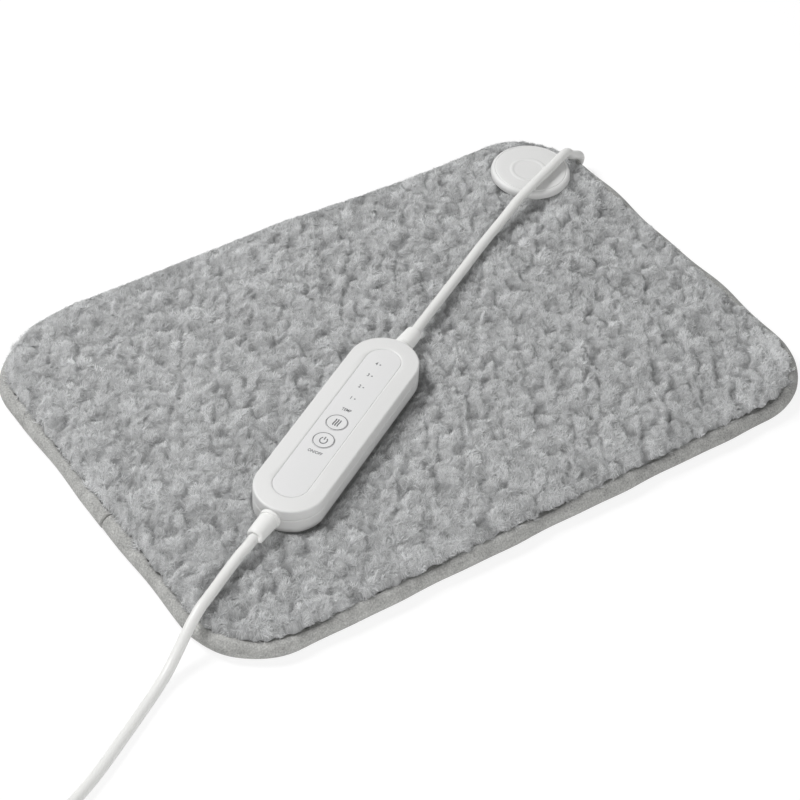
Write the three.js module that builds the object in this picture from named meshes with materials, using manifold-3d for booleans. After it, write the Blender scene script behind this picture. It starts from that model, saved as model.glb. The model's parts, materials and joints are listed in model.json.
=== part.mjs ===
// A plush electric heating pad with an in-line controller, in millimetres with +Z up.
// The origin is the middle of the pad's underside. +X runs along the pad's long side and +Y
// along its short side. The controller lies across the pad on its own axis.
import * as THREE from "three";
import { mergeVertices } from "three/addons/utils/BufferGeometryUtils.js";
import Module from "manifold-3d";

const wasm = await Module();
wasm.setup();

// Fits
const FIT = 0.3; // gap left between two pieces that touch
const SLIDE = 0.25; // gap round a piece that slides

// Pad
const PAD_LENGTH = 400;
const PAD_WIDTH = 275;
const PAD_CORNER = 46;
const BACKING_THICKNESS = 1.5;
const FELT_THICKNESS = 3;
const PLUSH_THICKNESS = 6.6;
const PLUSH_GROUND = 1.6; // bare ground cloth of the plush where it turns into the edge
const PLUSH_INSET = 6.2; // from the pad's edge to the side of the pile
const PLUSH_ROUND = 5; // how far in and down the pile rounds off at its side
const CROWN_WIDTH = 34; // strip along the edge over which the top rises to its full height
const CROWN_RISE = 0.9;
const BINDING_WIDTH = 11;
const BINDING_HEIGHT = 10.5;
const BINDING_WALL = 3.6; // tape outside the slot that takes the covers' edges
const BINDING_ROUND = 4.6;

// Heating element
const WIRE_DIAMETER = 2.2;
const WIRE_RUNS = 8;
const WIRE_PITCH = 24;
const WIRE_FIRST_RUN = 63; // Y of the run nearest the coupling
const WIRE_REACH = 165; // X of the outside of each return bend
const WIRE_RETURN = 182; // X of the run back to the coupling
const WIRE_BEND = 8;
const CUTOUT_SIZE = { length: 14, width: 8, height: 5 };
const CUTOUT_PLACES = [
  { x: -80, run: 1 },
  { x: 60, run: 4 },
];

// Coupling, a terminal box clamped through the pad near one corner
const COUPLING_FROM_END = 41;
const COUPLING_FROM_SIDE = 43.5;
const CAP_DIAMETER = 48.5;
const CAP_HEIGHT = 6.2;
const CAP_RIM = 3.2; // rounding of the cap's rim
const CAP_RING_DIAMETER = 21;
const CAP_RING_RISE = 0.5;
const CAP_WALL = 2.2;
const BASE_DIAMETER = 44;
const BASE_WALL = 2.2;
const BASE_FLOOR = 2;
const COUPLING_SCREW_PITCH = 26;
const POST_DIAMETER = 6.6;
const POST_HEIGHT = 5.8;
const TERMINAL_SIZE = { length: 8, width: 6, height: 4.8 };
const TERMINAL_PITCH = 13;
const TERMINAL_SETBACK = 3.6;
const GLAND_ANGLE = THREE.MathUtils.degToRad(8);
const GLAND_SIZE = { length: 6, width: 9, height: 6.6 };
const GLAND_NECK = { width: 5.6, height: 3.6 };
const GLAND_FLANGE = { length: 1.5, width: 8 };
const GROOVE_HEADROOM = 2.4; // above the gland, where the lead turns up round the edge

// Controller
const CONTROLLER_PLACE = { x: -66.5, y: -33.5 };
const CONTROLLER_ANGLE = THREE.MathUtils.degToRad(29);
const CONTROLLER_LENGTH = 147;
const CONTROLLER_WIDTH = 40;
const CONTROLLER_HEIGHT = 17.2;
const CONTROLLER_SINK = 3.5; // how far its weight presses it into the pile
const SHELL_WALL = 2;
const SHELL_FLOOR = 1.8;
const SHELL_DECK = 1.7; // top wall under the fascia
const SHELL_EDGE = 2.6; // rounding at the top edge
const SHELL_FOOT = 2.2; // rounding at the bottom edge
const TOP_CROWN = 0.9; // rise of the top from its edge to the fascia
const FASCIA_LENGTH = 125.5;
const FASCIA_WIDTH = 19.5;
const FASCIA_THICKNESS = 1;
const FASCIA_SINK = 0.3; // how far it lies below the rim round it
const CORD_AXIS = 9.7; // height of both cords and of the parting line above the controller's foot
const BUTTON_DIAMETER = 12;
const BUTTON_PROUD = 0.3;
const BUTTON_FLANGE = { diameter: 14.4, thickness: 1.6 };
const BUTTON_TRAVEL = 0.8;
const BUTTON_DISH = 0.25;
const STEM_DIAMETER = 4;
const POWER_AT = -17.1; // places along the controller's axis from its middle
const TEMPERATURE_AT = -1.8;
const LEVEL_FIRST = 19.1;
const LEVEL_PITCH = 10.25;
const LEVEL_COUNT = 4;
const LEVEL_DIAMETER = 1.2;
const GUIDE_WIDTH = 4;
const GUIDE_THICKNESS = 2;
const GUIDE_END = 2.6; // bar beyond its outer posts
const BOARD_FROM_MAINS_END = 23; // from the controller's ends to the board's
const BOARD_FROM_LEAD_END = 20;
const BOARD_WIDTH = 31;
const BOARD_THICKNESS = 1.6;
const BOARD_HEIGHT = 5.2; // underside above the controller's foot
const BOARD_RIB_PITCH = 60;
const BOARD_RIB = 2;
const SWITCH_SIZE = 6.2;
const SWITCH_HEIGHT = 3.6;
const PLUNGER_DIAMETER = 3.4;
const PLUNGER_HEIGHT = 2.1;
const PLUNGER_PROUD = 0.6;
const LED_SIZE = { length: 3, width: 2 };
const SCREW_PLACE = { fromEnd: 15.5, y: 9 };
const BOSS_DIAMETER = 6.4;
const SCREW_DIAMETER = 2.7;
const SCREW_HEAD = { diameter: 5.2, height: 2 };
const SCREW_RECESS = 0.6; // head below the face it is driven from
const SCREW_GRIP = 4.2; // thread beyond the joint between the two pieces
const LINE_TERMINAL = { fromEnd: 29.5, y: 11, length: 10, width: 8, height: 5 };
const CONDUCTOR_DIAMETER = 1.6;
const CONDUCTOR_SPREAD = 1.7;
// Parts on the board, placed from the controller's mains end
const FUSE = { fromEnd: 49.5, y: 11.5, length: 20, diameter: 5 };
const CAPACITOR = { fromEnd: 49.5, y: -11.5, length: 18, width: 7, height: 5.4 };
const TRIAC = { fromEnd: 85.5, y: -10.5, length: 10, width: 8, height: 4.4 };

// Strain reliefs at the controller's ends
const BOOT_LENGTH = 16.5;
const BOOT_COLLAR = { diameter: 11.8, length: 2 };
const BOOT_DIAMETER = 10.8;
const BOOT_TIP = 9.6;
const BOOT_NECK = 6;
const BOOT_FLANGE = { diameter: 7.8, thickness: 1.5 };

// Cords
const CORD_DIAMETER = 5.8;
const CORD_SIDES = 10;
const LEAD_STEPS = 58;
const MAINS_STEPS = 22;
const LEAD_ROUTE = [
  [42.7, 27.2, 22.2],
  [67.9, 41.4, 20.9],
  [92.5, 53.2, 20.8],
  [116.1, 63.4, 22.4],
  [133.3, 70.8, 25.6],
  [145.5, 75.8, 27.1],
  [158, 80.9, 27.2],
  [171.2, 86.3, 27.2],
  [179.2, 89.7, 27.2],
  [184, 91.8, 26.7],
  [187.7, 93.3, 24.9],
  [191.4, 94.9, 22.4],
  [195.3, 96.5, 20.7],
  [200.2, 98.5, 19],
  [203, 99.7, 15.6],
  [203.9, 100.2, 12],
  [203.1, 100.2, 8.3],
  [200.4, 99.8, 4.9],
  [196.8, 99.3, 3.4],
  [193.3, 98.8, 3.3],
];
const GLAND_AXIS = 3.3; // height of the lead where it enters the coupling
const MAINS_ROUTE = [
  [-157, -81.6, 22.6],
  [-169.4, -87.6, 21.2],
  [-182.7, -94.2, 20.7],
  [-193, -99.4, 19.6],
  [-202, -104.2, 15.6],
  [-211.5, -109.6, 9.8],
  [-222, -115.8, 5],
  [-236, -124, 3.2],
  [-258, -137, 3.2],
  [-282, -150.6, 3.2],
  [-306, -161.6, 3.3],
];

// Coil of the mains lead, its tie and its plug
const COIL_PLACE = { x: -336, y: -222 };
const COIL_START = THREE.MathUtils.degToRad(113);
const COIL_TURNS = 7 + (270 - 113) / 360; // it leaves along +X, below its middle
const COIL_MIDDLE = 64; // diameter at the middle of its turns
const COIL_PITCH = 6.4;
const LOOP_STEPS = 24;
const LOOP_SIDES = 6;
const TAIL_LENGTH = 30;
const TIE_ANGLE = THREE.MathUtils.degToRad(205);
const TIE_WIDTH = 9;
const TIE_THICKNESS = 1;
const TIE_FLOOR = 0.1;
const TIE_GAP = 0.5;
const TIE_CORNER = 4;
const PLUG_WIDTH = 35.3;
const PLUG_THICKNESS = 13.7;
const PLUG_FLOOR = 0.2;
const PLUG_RELIEF = { length: 24, root: 11, tip: 8.6, ribs: 5, groove: 0.8 };
const PLUG_TAPER = 18; // length over which the body widens
const PLUG_GRIP = 14; // length at full width
const PIN_DIAMETER = 4;
const PIN_LENGTH = 19;
const PIN_SPACING = 18.6;
const PIN_SEAT = 6;

// Facets
const PAD_CORNER_STEPS = 8;
const SMALL_CORNER_STEPS = 3;
const ROUND_SIDES = 24;
const ROD_SIDES = 16;
const LOOP_FLAT = 0.05; // shortest straight left between two corner arcs

// Heights in the pad, from its underside
const slotHeight = BACKING_THICKNESS + PLUSH_GROUND + 3 * FIT;
const slotLow = (BINDING_HEIGHT - slotHeight) / 2;
const slotHigh = slotLow + slotHeight;
const backingFlange = slotLow + FIT;
const plushFlange = backingFlange + BACKING_THICKNESS + FIT;
const lowerFelt = BACKING_THICKNESS + FIT;
const wireAxis = lowerFelt + FELT_THICKNESS + FIT + WIRE_DIAMETER / 2;
const upperFelt = wireAxis + WIRE_DIAMETER / 2 + FIT;
const plushUnder = Math.max(upperFelt + FELT_THICKNESS, BINDING_HEIGHT) + FIT;
const plushTop = plushUnder + PLUSH_THICKNESS;
const flangeInset = BINDING_WALL + FIT;
const trayInset = BINDING_WIDTH + FIT;
const feltInset = trayInset + Math.max(BACKING_THICKNESS, PLUSH_GROUND) + FIT;
const couplingX = PAD_LENGTH / 2 - COUPLING_FROM_END;
const couplingY = PAD_WIDTH / 2 - COUPLING_FROM_SIDE;

// Heights in the controller, from its foot
const controllerFoot = plushTop - CONTROLLER_SINK;
const fasciaTop = CONTROLLER_HEIGHT - FASCIA_SINK;
const fasciaRecess = fasciaTop - FASCIA_THICKNESS - FIT;
const deckUnder = fasciaRecess - SHELL_DECK;
const boardTop = BOARD_HEIGHT + BOARD_THICKNESS;
const partFoot = boardTop + FIT;
const switchTop = partFoot + SWITCH_HEIGHT;
const plungerTop = switchTop + PLUNGER_PROUD;
const flangeTop = deckUnder - FIT;
const guideUnder = flangeTop - GUIDE_THICKNESS;
const bootFlangeFace = CONTROLLER_LENGTH / 2 - SHELL_WALL - BOOT_FLANGE.thickness - 1.1;
const cordRadius = CORD_DIAMETER / 2;

// Places along the controller's axis, from its middle
const controllerEnd = CONTROLLER_LENGTH / 2;
const boardFrom = BOARD_FROM_MAINS_END - controllerEnd;
const boardTo = controllerEnd - BOARD_FROM_LEAD_END;
const screwX = controllerEnd - SCREW_PLACE.fromEnd;
const terminalX = controllerEnd - LINE_TERMINAL.fromEnd;

// The points of a rounded rectangle at one height, anticlockwise seen from above.
function roundedLoop(length, width, corner, z, steps = PAD_CORNER_STEPS) {
  const radius = Math.min(corner, length / 2 - LOOP_FLAT, width / 2 - LOOP_FLAT);
  const centres = [
    [1, 1],
    [-1, 1],
    [-1, -1],
    [1, -1],
  ];
  return centres.flatMap(([sx, sy], quarter) => {
    const x = sx * (length / 2 - radius);
    const y = sy * (width / 2 - radius);
    return Array.from({ length: steps + 1 }, (_, i) => {
      const angle = ((quarter + i / steps) * Math.PI) / 2;
      return new THREE.Vector3(x + radius * Math.cos(angle), y + radius * Math.sin(angle), z);
    });
  });
}

// A closed body through loops of equal counts, flat at both ends or joined round into a ring.
function loft(loops, ring = false) {
  const count = loops[0].length;
  const last = (loops.length - 1) * count;
  const faces = [];
  for (let k = 0; k < loops.length - (ring ? 0 : 1); k++) {
    const low = k * count;
    const high = ((k + 1) % loops.length) * count;
    for (let i = 0; i < count; i++) {
      const j = (i + 1) % count;
      faces.push(low + i, low + j, high + j, low + i, high + j, high + i);
    }
  }
  for (let i = 1; i < count - 1 && !ring; i++) {
    faces.push(0, i + 1, i, last, last + i, last + i + 1);
  }
  const geometry = new THREE.BufferGeometry().setFromPoints(loops.flat());
  geometry.setIndex(faces);
  return geometry;
}

// A pad layer: each step is [inset from the pad's edge, height].
function padLoft(profile, ring = false) {
  const loops = profile.map(([inset, z]) =>
    roundedLoop(PAD_LENGTH - 2 * inset, PAD_WIDTH - 2 * inset, Math.max(PAD_CORNER - inset, 1), z),
  );
  return loft(loops, ring);
}

// A body with the controller's long round-ended plan: each step is [inset, height].
function stadiumLoft(length, width, profile) {
  const loops = profile.map(([inset, z]) =>
    roundedLoop(length - 2 * inset, width - 2 * inset, width / 2, z),
  );
  return loft(loops);
}

// A round bar swept along points that never run straight up.
function sweep(points, radius, sides) {
  const up = new THREE.Vector3(0, 0, 1);
  const loops = points.map((point, k) => {
    const before = points[Math.max(k - 1, 0)];
    const after = points[Math.min(k + 1, points.length - 1)];
    const along = new THREE.Vector3().subVectors(after, before).normalize();
    const side = new THREE.Vector3().crossVectors(up, along).normalize();
    const rise = new THREE.Vector3().crossVectors(along, side);
    return Array.from({ length: sides }, (_, i) => {
      const angle = (i / sides) * 2 * Math.PI;
      return point
        .clone()
        .addScaledVector(side, radius * Math.cos(angle))
        .addScaledVector(rise, radius * Math.sin(angle));
    });
  });
  return loft(loops);
}

// A free cord: a round section carried along a smooth curve through its route.
function cordTube(route, steps) {
  const section = new THREE.Shape();
  for (let i = 0; i < CORD_SIDES; i++) {
    const angle = (i / CORD_SIDES) * 2 * Math.PI;
    const x = cordRadius * Math.cos(angle);
    const y = cordRadius * Math.sin(angle);
    if (i === 0) section.moveTo(x, y);
    else section.lineTo(x, y);
  }
  section.closePath();
  const extrudePath = new THREE.CatmullRomCurve3(route, false, "centripetal");
  return new THREE.ExtrudeGeometry(section, { steps, extrudePath });
}

// An upright round bar between two heights.
function rod(diameter, from, to, x = 0, y = 0, sides = ROD_SIDES) {
  const bar = new THREE.CylinderGeometry(diameter / 2, diameter / 2, to - from, sides);
  return bar.rotateX(Math.PI / 2).translate(x, y, (from + to) / 2);
}

// A round bar along X between two places.
function bar(diameter, from, to, y, z, sides = ROD_SIDES) {
  const rodAlong = new THREE.CylinderGeometry(diameter / 2, diameter / 2, to - from, sides);
  return rodAlong.rotateZ(Math.PI / 2).translate((from + to) / 2, y, z);
}

// A box with its middle at x and y, between two heights.
function block(length, width, from, to, x = 0, y = 0) {
  return new THREE.BoxGeometry(length, width, to - from).translate(x, y, (from + to) / 2);
}

// A turned piece about Z from [radius, height] steps.
function turned(profile, sides = ROUND_SIDES) {
  const points = profile.map(([radius, z]) => new THREE.Vector2(radius, z));
  return new THREE.LatheGeometry(points, sides).rotateX(Math.PI / 2);
}

function solidOf(geometry) {
  const bare = geometry.index ? geometry.toNonIndexed() : geometry.clone();
  bare.deleteAttribute("normal");
  bare.deleteAttribute("uv");
  const merged = mergeVertices(bare, 1e-4);
  const vertProperties = merged.attributes.position.array;
  const triVerts = new Uint32Array(merged.index.array);
  return new wasm.Manifold(new wasm.Mesh({ numProp: 3, vertProperties, triVerts }));
}

function geometryOf(solid) {
  const mesh = solid.getMesh();
  const geometry = new THREE.BufferGeometry();
  geometry.setAttribute("position", new THREE.BufferAttribute(mesh.vertProperties, 3));
  geometry.setIndex(new THREE.BufferAttribute(mesh.triVerts, 1));
  return geometry;
}

function cut(geometry, tools) {
  return geometryOf(tools.reduce((left, tool) => left.subtract(solidOf(tool)), solidOf(geometry)));
}

function join(geometry, others) {
  return geometryOf(others.reduce((whole, other) => whole.add(solidOf(other)), solidOf(geometry)));
}

// Finishes
const FINISHES = {
  plush: { color: 0xb4b5b6, roughness: 1, metalness: 0 },
  velour: { color: 0x8f8f8e, roughness: 0.95, metalness: 0 },
  felt: { color: 0xe6e3da, roughness: 1, metalness: 0 },
  whitePlastic: { color: 0xeeeeec, roughness: 0.45, metalness: 0 },
  glossPlastic: { color: 0xf2f2f1, roughness: 0.3, metalness: 0 },
  clearPlastic: { color: 0xdfe4e6, roughness: 0.15, metalness: 0 },
  cordJacket: { color: 0xececea, roughness: 0.5, metalness: 0 },
  element: { color: 0xc9785a, roughness: 0.6, metalness: 0 },
  board: { color: 0x2f6b43, roughness: 0.5, metalness: 0 },
  darkPart: { color: 0x26272a, roughness: 0.5, metalness: 0 },
  brass: { color: 0xc8a24c, roughness: 0.3, metalness: 1 },
  steel: { color: 0xb9bcbf, roughness: 0.3, metalness: 1 },
};

function add(parent, name, geometry, finish) {
  const material = new THREE.MeshStandardMaterial(FINISHES[finish]);
  const mesh = new THREE.Mesh(geometry, material);
  mesh.name = name;
  parent.add(mesh);
}

// A screw driven up from below: head, shank and flat tip.
function screw(headUnder, tip, x, y) {
  const headTop = headUnder + SCREW_HEAD.height;
  const shank = rod(SCREW_DIAMETER, headTop - FIT, tip, x, y, ROD_SIDES / 2);
  return join(rod(SCREW_HEAD.diameter, headUnder, headTop, x, y), [shank]);
}

// The holes that such a screw needs: a recess for its head and a bore for its shank.
function screwHoles(face, tip, x, y) {
  const seat = face + SCREW_RECESS + SCREW_HEAD.height + FIT;
  return [
    rod(SCREW_HEAD.diameter + 2 * FIT, face - 1, seat, x, y),
    rod(SCREW_DIAMETER + 2 * FIT, face - 1, tip + FIT, x, y),
  ];
}

// Replaces each inner corner of a flat path by an arc.
function filleted(corners, radius, steps) {
  const path = [corners[0]];
  for (let k = 1; k < corners.length - 1; k++) {
    const here = corners[k];
    const into = new THREE.Vector3().subVectors(corners[k - 1], here).normalize();
    const out = new THREE.Vector3().subVectors(corners[k + 1], here).normalize();
    const centre = here.clone().addScaledVector(into, radius).addScaledVector(out, radius);
    for (let i = 0; i <= steps; i++) {
      const angle = ((i / steps) * Math.PI) / 2;
      path.push(
        centre
          .clone()
          .addScaledVector(out, -radius * Math.cos(angle))
          .addScaledVector(into, -radius * Math.sin(angle)),
      );
    }
  }
  path.push(corners.at(-1));
  return path;
}

// The heating wire runs to and fro across the pad and back to the coupling along one end.
function wireLine() {
  const at = (x, y) => new THREE.Vector3(x, y, wireAxis);
  const terminalFace = couplingY - TERMINAL_SETBACK - TERMINAL_SIZE.length / 2 - FIT;
  const first = couplingX - TERMINAL_PITCH / 2;
  const second = couplingX + TERMINAL_PITCH / 2;
  const line = filleted(
    [at(first, terminalFace), at(first, WIRE_FIRST_RUN), at(0, WIRE_FIRST_RUN)],
    WIRE_BEND,
    3,
  );
  const bend = WIRE_PITCH / 2;
  for (let run = 0; run < WIRE_RUNS - 1; run++) {
    const side = run % 2 === 0 ? -1 : 1;
    const y = WIRE_FIRST_RUN - run * WIRE_PITCH;
    for (let i = 0; i <= 6; i++) {
      const angle = (i / 6) * Math.PI;
      const x = side * (WIRE_REACH - bend + bend * Math.sin(angle));
      line.push(at(x, y - bend + bend * Math.cos(angle)));
    }
  }
  const lastRun = WIRE_FIRST_RUN - (WIRE_RUNS - 1) * WIRE_PITCH;
  const back = WIRE_FIRST_RUN;
  const home = [
    at(0, lastRun),
    at(WIRE_RETURN, lastRun),
    at(WIRE_RETURN, back),
    at(second, back),
    at(second, terminalFace),
  ];
  return [...line, ...filleted(home, WIRE_BEND, 3).slice(1)];
}

function runY(run) {
  return WIRE_FIRST_RUN - run * WIRE_PITCH;
}

// The lead lies in a groove under the pad's corner, from the edge to the coupling's gland.
function leadGroove() {
  const width = GLAND_SIZE.width + 2 * FIT;
  const top = GLAND_AXIS + GLAND_SIZE.height / 2 + GROOVE_HEADROOM;
  const reach = COUPLING_FROM_END + CAP_DIAMETER;
  return block(reach, width, -1, top, reach / 2, 0)
    .rotateZ(GLAND_ANGLE)
    .translate(couplingX, couplingY, 0);
}

function couplingHole(diameter) {
  return rod(diameter, -1, plushTop + 1, couplingX, couplingY, ROUND_SIDES);
}

function cutoutBoxes(grow) {
  return CUTOUT_PLACES.map(({ x, run }) =>
    block(
      CUTOUT_SIZE.length + 2 * grow,
      CUTOUT_SIZE.width + 2 * grow,
      wireAxis - CUTOUT_SIZE.height / 2 - grow,
      wireAxis + CUTOUT_SIZE.height / 2 + grow,
      x,
      runY(run),
    ),
  );
}

function makePad(parent) {
  const wellHole = couplingHole(BASE_DIAMETER + 2 * FIT);
  const groove = leadGroove();

  const backing = padLoft([
    [trayInset, 0],
    [trayInset, backingFlange],
    [flangeInset, backingFlange],
    [flangeInset, backingFlange + BACKING_THICKNESS],
    [trayInset + BACKING_THICKNESS, backingFlange + BACKING_THICKNESS],
    [trayInset + BACKING_THICKNESS, BACKING_THICKNESS],
  ]);
  add(parent, "backing_cover", cut(backing, [wellHole, groove]), "velour");

  const pockets = cutoutBoxes(FIT);
  for (const [name, foot] of [
    ["lower_felt", lowerFelt],
    ["upper_felt", upperFelt],
  ]) {
    const felt = padLoft([
      [feltInset, foot],
      [feltInset, foot + FELT_THICKNESS],
    ]);
    add(parent, name, cut(felt, [wellHole, groove, ...pockets]), "felt");
  }

  add(parent, "heating_wire", sweep(wireLine(), WIRE_DIAMETER / 2, 6), "element");
  cutoutBoxes(0).forEach((box, i) => {
    const { x, run } = CUTOUT_PLACES[i];
    const reach = CUTOUT_SIZE.length;
    const bore = bar(WIRE_DIAMETER + 2 * FIT, x - reach, x + reach, runY(run), wireAxis);
    add(parent, `thermal_cutout_${i + 1}`, cut(box, [bore]), "darkPart");
  });

  const roundSteps = [0, 0.25, 0.5, 0.75, 1].map((share) => {
    const angle = (share * Math.PI) / 2;
    const drop = CROWN_RISE + PLUSH_ROUND * (1 - Math.sin(angle));
    return [PLUSH_INSET + PLUSH_ROUND * (1 - Math.cos(angle)), plushTop - drop];
  });
  const plush = padLoft([
    [trayInset + PLUSH_GROUND, plushUnder],
    [trayInset + PLUSH_GROUND, plushFlange],
    [flangeInset, plushFlange],
    [flangeInset, plushFlange + PLUSH_GROUND],
    [trayInset, plushFlange + PLUSH_GROUND],
    [trayInset, plushUnder],
    [PLUSH_INSET + 1, plushUnder],
    ...roundSteps,
    [PLUSH_INSET + PLUSH_ROUND + CROWN_WIDTH / 3, plushTop - CROWN_RISE / 3],
    [PLUSH_INSET + PLUSH_ROUND + CROWN_WIDTH, plushTop],
  ]);
  const dent = stadiumLoft(CONTROLLER_LENGTH + 2 * FIT, CONTROLLER_WIDTH + 2 * FIT, [
    [0, controllerFoot - FIT],
    [0, plushTop + 1],
  ])
    .rotateZ(CONTROLLER_ANGLE)
    .translate(CONTROLLER_PLACE.x, CONTROLLER_PLACE.y, 0);
  const bossHoles = couplingScrewPlaces().map(({ x, y }) =>
    rod(POST_DIAMETER + 2 * FIT, plushUnder - 1, plushTop + 1, couplingX + x, couplingY + y),
  );
  add(parent, "plush_cover", cut(plush, [dent, groove, ...bossHoles]), "plush");

  const half = BINDING_HEIGHT / 2;
  const outside = [0, 0.25, 0.5, 0.75, 1].map((share) => {
    const angle = (share - 0.5) * Math.PI;
    return [BINDING_ROUND * (1 - Math.cos(angle)), half + half * Math.sin(angle)];
  });
  const binding = padLoft(
    [
      ...outside,
      [BINDING_WIDTH - 2, BINDING_HEIGHT],
      [BINDING_WIDTH, BINDING_HEIGHT - 1.5],
      [BINDING_WIDTH, slotHigh],
      [BINDING_WALL, slotHigh],
      [BINDING_WALL, slotLow],
      [BINDING_WIDTH, slotLow],
      [BINDING_WIDTH, 1],
      [BINDING_WIDTH - 1, 0],
    ],
    true,
  );
  add(parent, "edge_binding", cut(binding, [groove]), "velour");
}

function couplingScrewPlaces() {
  return [-1, 1].map((side) => ({ x: 0, y: (side * COUPLING_SCREW_PITCH) / 2 }));
}

function makeCoupling(parent) {
  const group = new THREE.Group();
  group.position.set(couplingX, couplingY, 0);
  parent.add(group);
  const baseFloor = FIT + BASE_FLOOR;
  const baseTop = plushUnder - FIT;
  const capUnder = plushTop + FIT;
  const capTop = capUnder + CAP_HEIGHT;
  const postTop = FIT + BASE_FLOOR + POST_HEIGHT;
  const screwTip = postTop + FIT + SCREW_GRIP;
  const places = couplingScrewPlaces();
  const holes = places.flatMap(({ x, y }) => screwHoles(FIT, screwTip, x, y));
  const inner = BASE_DIAMETER / 2 - BASE_WALL;

  // The base is a cup with two screw posts, a notch for the gland and two bores for the wire.
  const cup = turned([
    [0, FIT],
    [BASE_DIAMETER / 2 - 1, FIT],
    [BASE_DIAMETER / 2, FIT + 1],
    [BASE_DIAMETER / 2, baseTop],
    [inner, baseTop],
    [inner, baseFloor],
    [0, baseFloor],
  ]);
  const posts = places.map(({ x, y }) => rod(POST_DIAMETER, FIT + 0.5, postTop, x, y));
  const glandFloor = baseFloor + FIT;
  const notch = block(
    BASE_DIAMETER / 2,
    GLAND_NECK.width + 2 * FIT,
    glandFloor - FIT,
    glandFloor + GLAND_NECK.height + FIT,
    BASE_DIAMETER / 2,
  ).rotateZ(GLAND_ANGLE);
  const bores = [-1, 1].map((side) =>
    rod(WIRE_DIAMETER + 2 * FIT, 0, BASE_DIAMETER, 0, 0)
      .rotateX(Math.PI / 2)
      .translate((side * TERMINAL_PITCH) / 2, 0, wireAxis),
  );
  const base = cut(join(cup, posts), [...holes, notch, ...bores]);
  add(group, "coupling_base", base, "whitePlastic");

  // The cap is a shallow lens with a rounded rim, a raised ring and two bosses for the screws.
  const rim = [0, 0.33, 0.67, 1].map((share) => {
    const angle = (share * Math.PI) / 2;
    const radius = CAP_DIAMETER / 2 - CAP_RIM * (1 - Math.cos(angle));
    return [radius, capTop - CAP_RING_RISE - CAP_RIM * (1 - Math.sin(angle))];
  });
  const ring = CAP_RING_DIAMETER / 2;
  const lens = turned(
    [
      [0, capTop - CAP_RING_RISE - CAP_WALL],
      [CAP_DIAMETER / 2 - CAP_WALL - CAP_RIM, capTop - CAP_RING_RISE - CAP_WALL],
      [CAP_DIAMETER / 2 - CAP_WALL, capUnder],
      [CAP_DIAMETER / 2, capUnder],
      ...rim,
      [ring + 1, capTop - CAP_RING_RISE],
      [ring, capTop],
      [ring - 1.4, capTop],
      [ring - 2.4, capTop - CAP_RING_RISE],
      [0, capTop - CAP_RING_RISE],
    ],
    36,
  );
  const bosses = places.map(({ x, y }) =>
    rod(POST_DIAMETER, postTop + FIT, capTop - CAP_RING_RISE - CAP_WALL / 2, x, y),
  );
  add(group, "coupling_cap", cut(join(lens, bosses), holes), "whitePlastic");

  places.forEach(({ x, y }, i) => {
    const driven = screw(FIT + SCREW_RECESS, screwTip, x, y);
    add(group, `coupling_screw_${i + 1}`, driven, "steel");
  });
  [-1, 1].forEach((side, i) => {
    const terminal = block(
      TERMINAL_SIZE.width,
      TERMINAL_SIZE.length,
      baseFloor + FIT,
      baseFloor + FIT + TERMINAL_SIZE.height,
      (side * TERMINAL_PITCH) / 2,
      -TERMINAL_SETBACK,
    );
    add(group, `coupling_terminal_${i + 1}`, terminal, "brass");
  });

  // The gland is a soft block outside the base, with a neck through its wall and a flange inside.
  const outside = BASE_DIAMETER / 2 + FIT;
  const half = GLAND_SIZE.height / 2;
  const body = loft([
    roundedLoop(GLAND_SIZE.height, GLAND_SIZE.width, 2.5, outside, SMALL_CORNER_STEPS),
    roundedLoop(GLAND_SIZE.height, GLAND_SIZE.width, 2.5, outside + 3, SMALL_CORNER_STEPS),
    roundedLoop(GLAND_SIZE.height - 0.4, CORD_DIAMETER + 1.2, 2.5, glandEnd(), SMALL_CORNER_STEPS),
  ])
    .rotateY(Math.PI / 2)
    .translate(0, 0, FIT + half);
  const flangeFace = inner - 1 - GLAND_FLANGE.length;
  const neckTop = glandFloor + GLAND_NECK.height;
  const neckLength = outside + 1 - flangeFace;
  const neck = block(neckLength, GLAND_NECK.width, glandFloor, neckTop, flangeFace + neckLength / 2);
  const flange = block(
    GLAND_FLANGE.length,
    GLAND_FLANGE.width,
    glandFloor,
    neckTop,
    flangeFace + GLAND_FLANGE.length / 2,
  );
  add(group, "lead_gland", join(body, [neck, flange]).rotateZ(GLAND_ANGLE), "cordJacket");
}

// Distance of the gland's outer face from the coupling's axis.
function glandEnd() {
  return BASE_DIAMETER / 2 + FIT + GLAND_SIZE.length;
}

function screwCorners() {
  return [1, -1].flatMap((sx) =>
    [1, -1].map((sy) => ({ x: sx * screwX, y: sy * SCREW_PLACE.y })),
  );
}

function levelPlaces() {
  return Array.from({ length: LEVEL_COUNT }, (_, i) => LEVEL_FIRST + i * LEVEL_PITCH);
}

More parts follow.
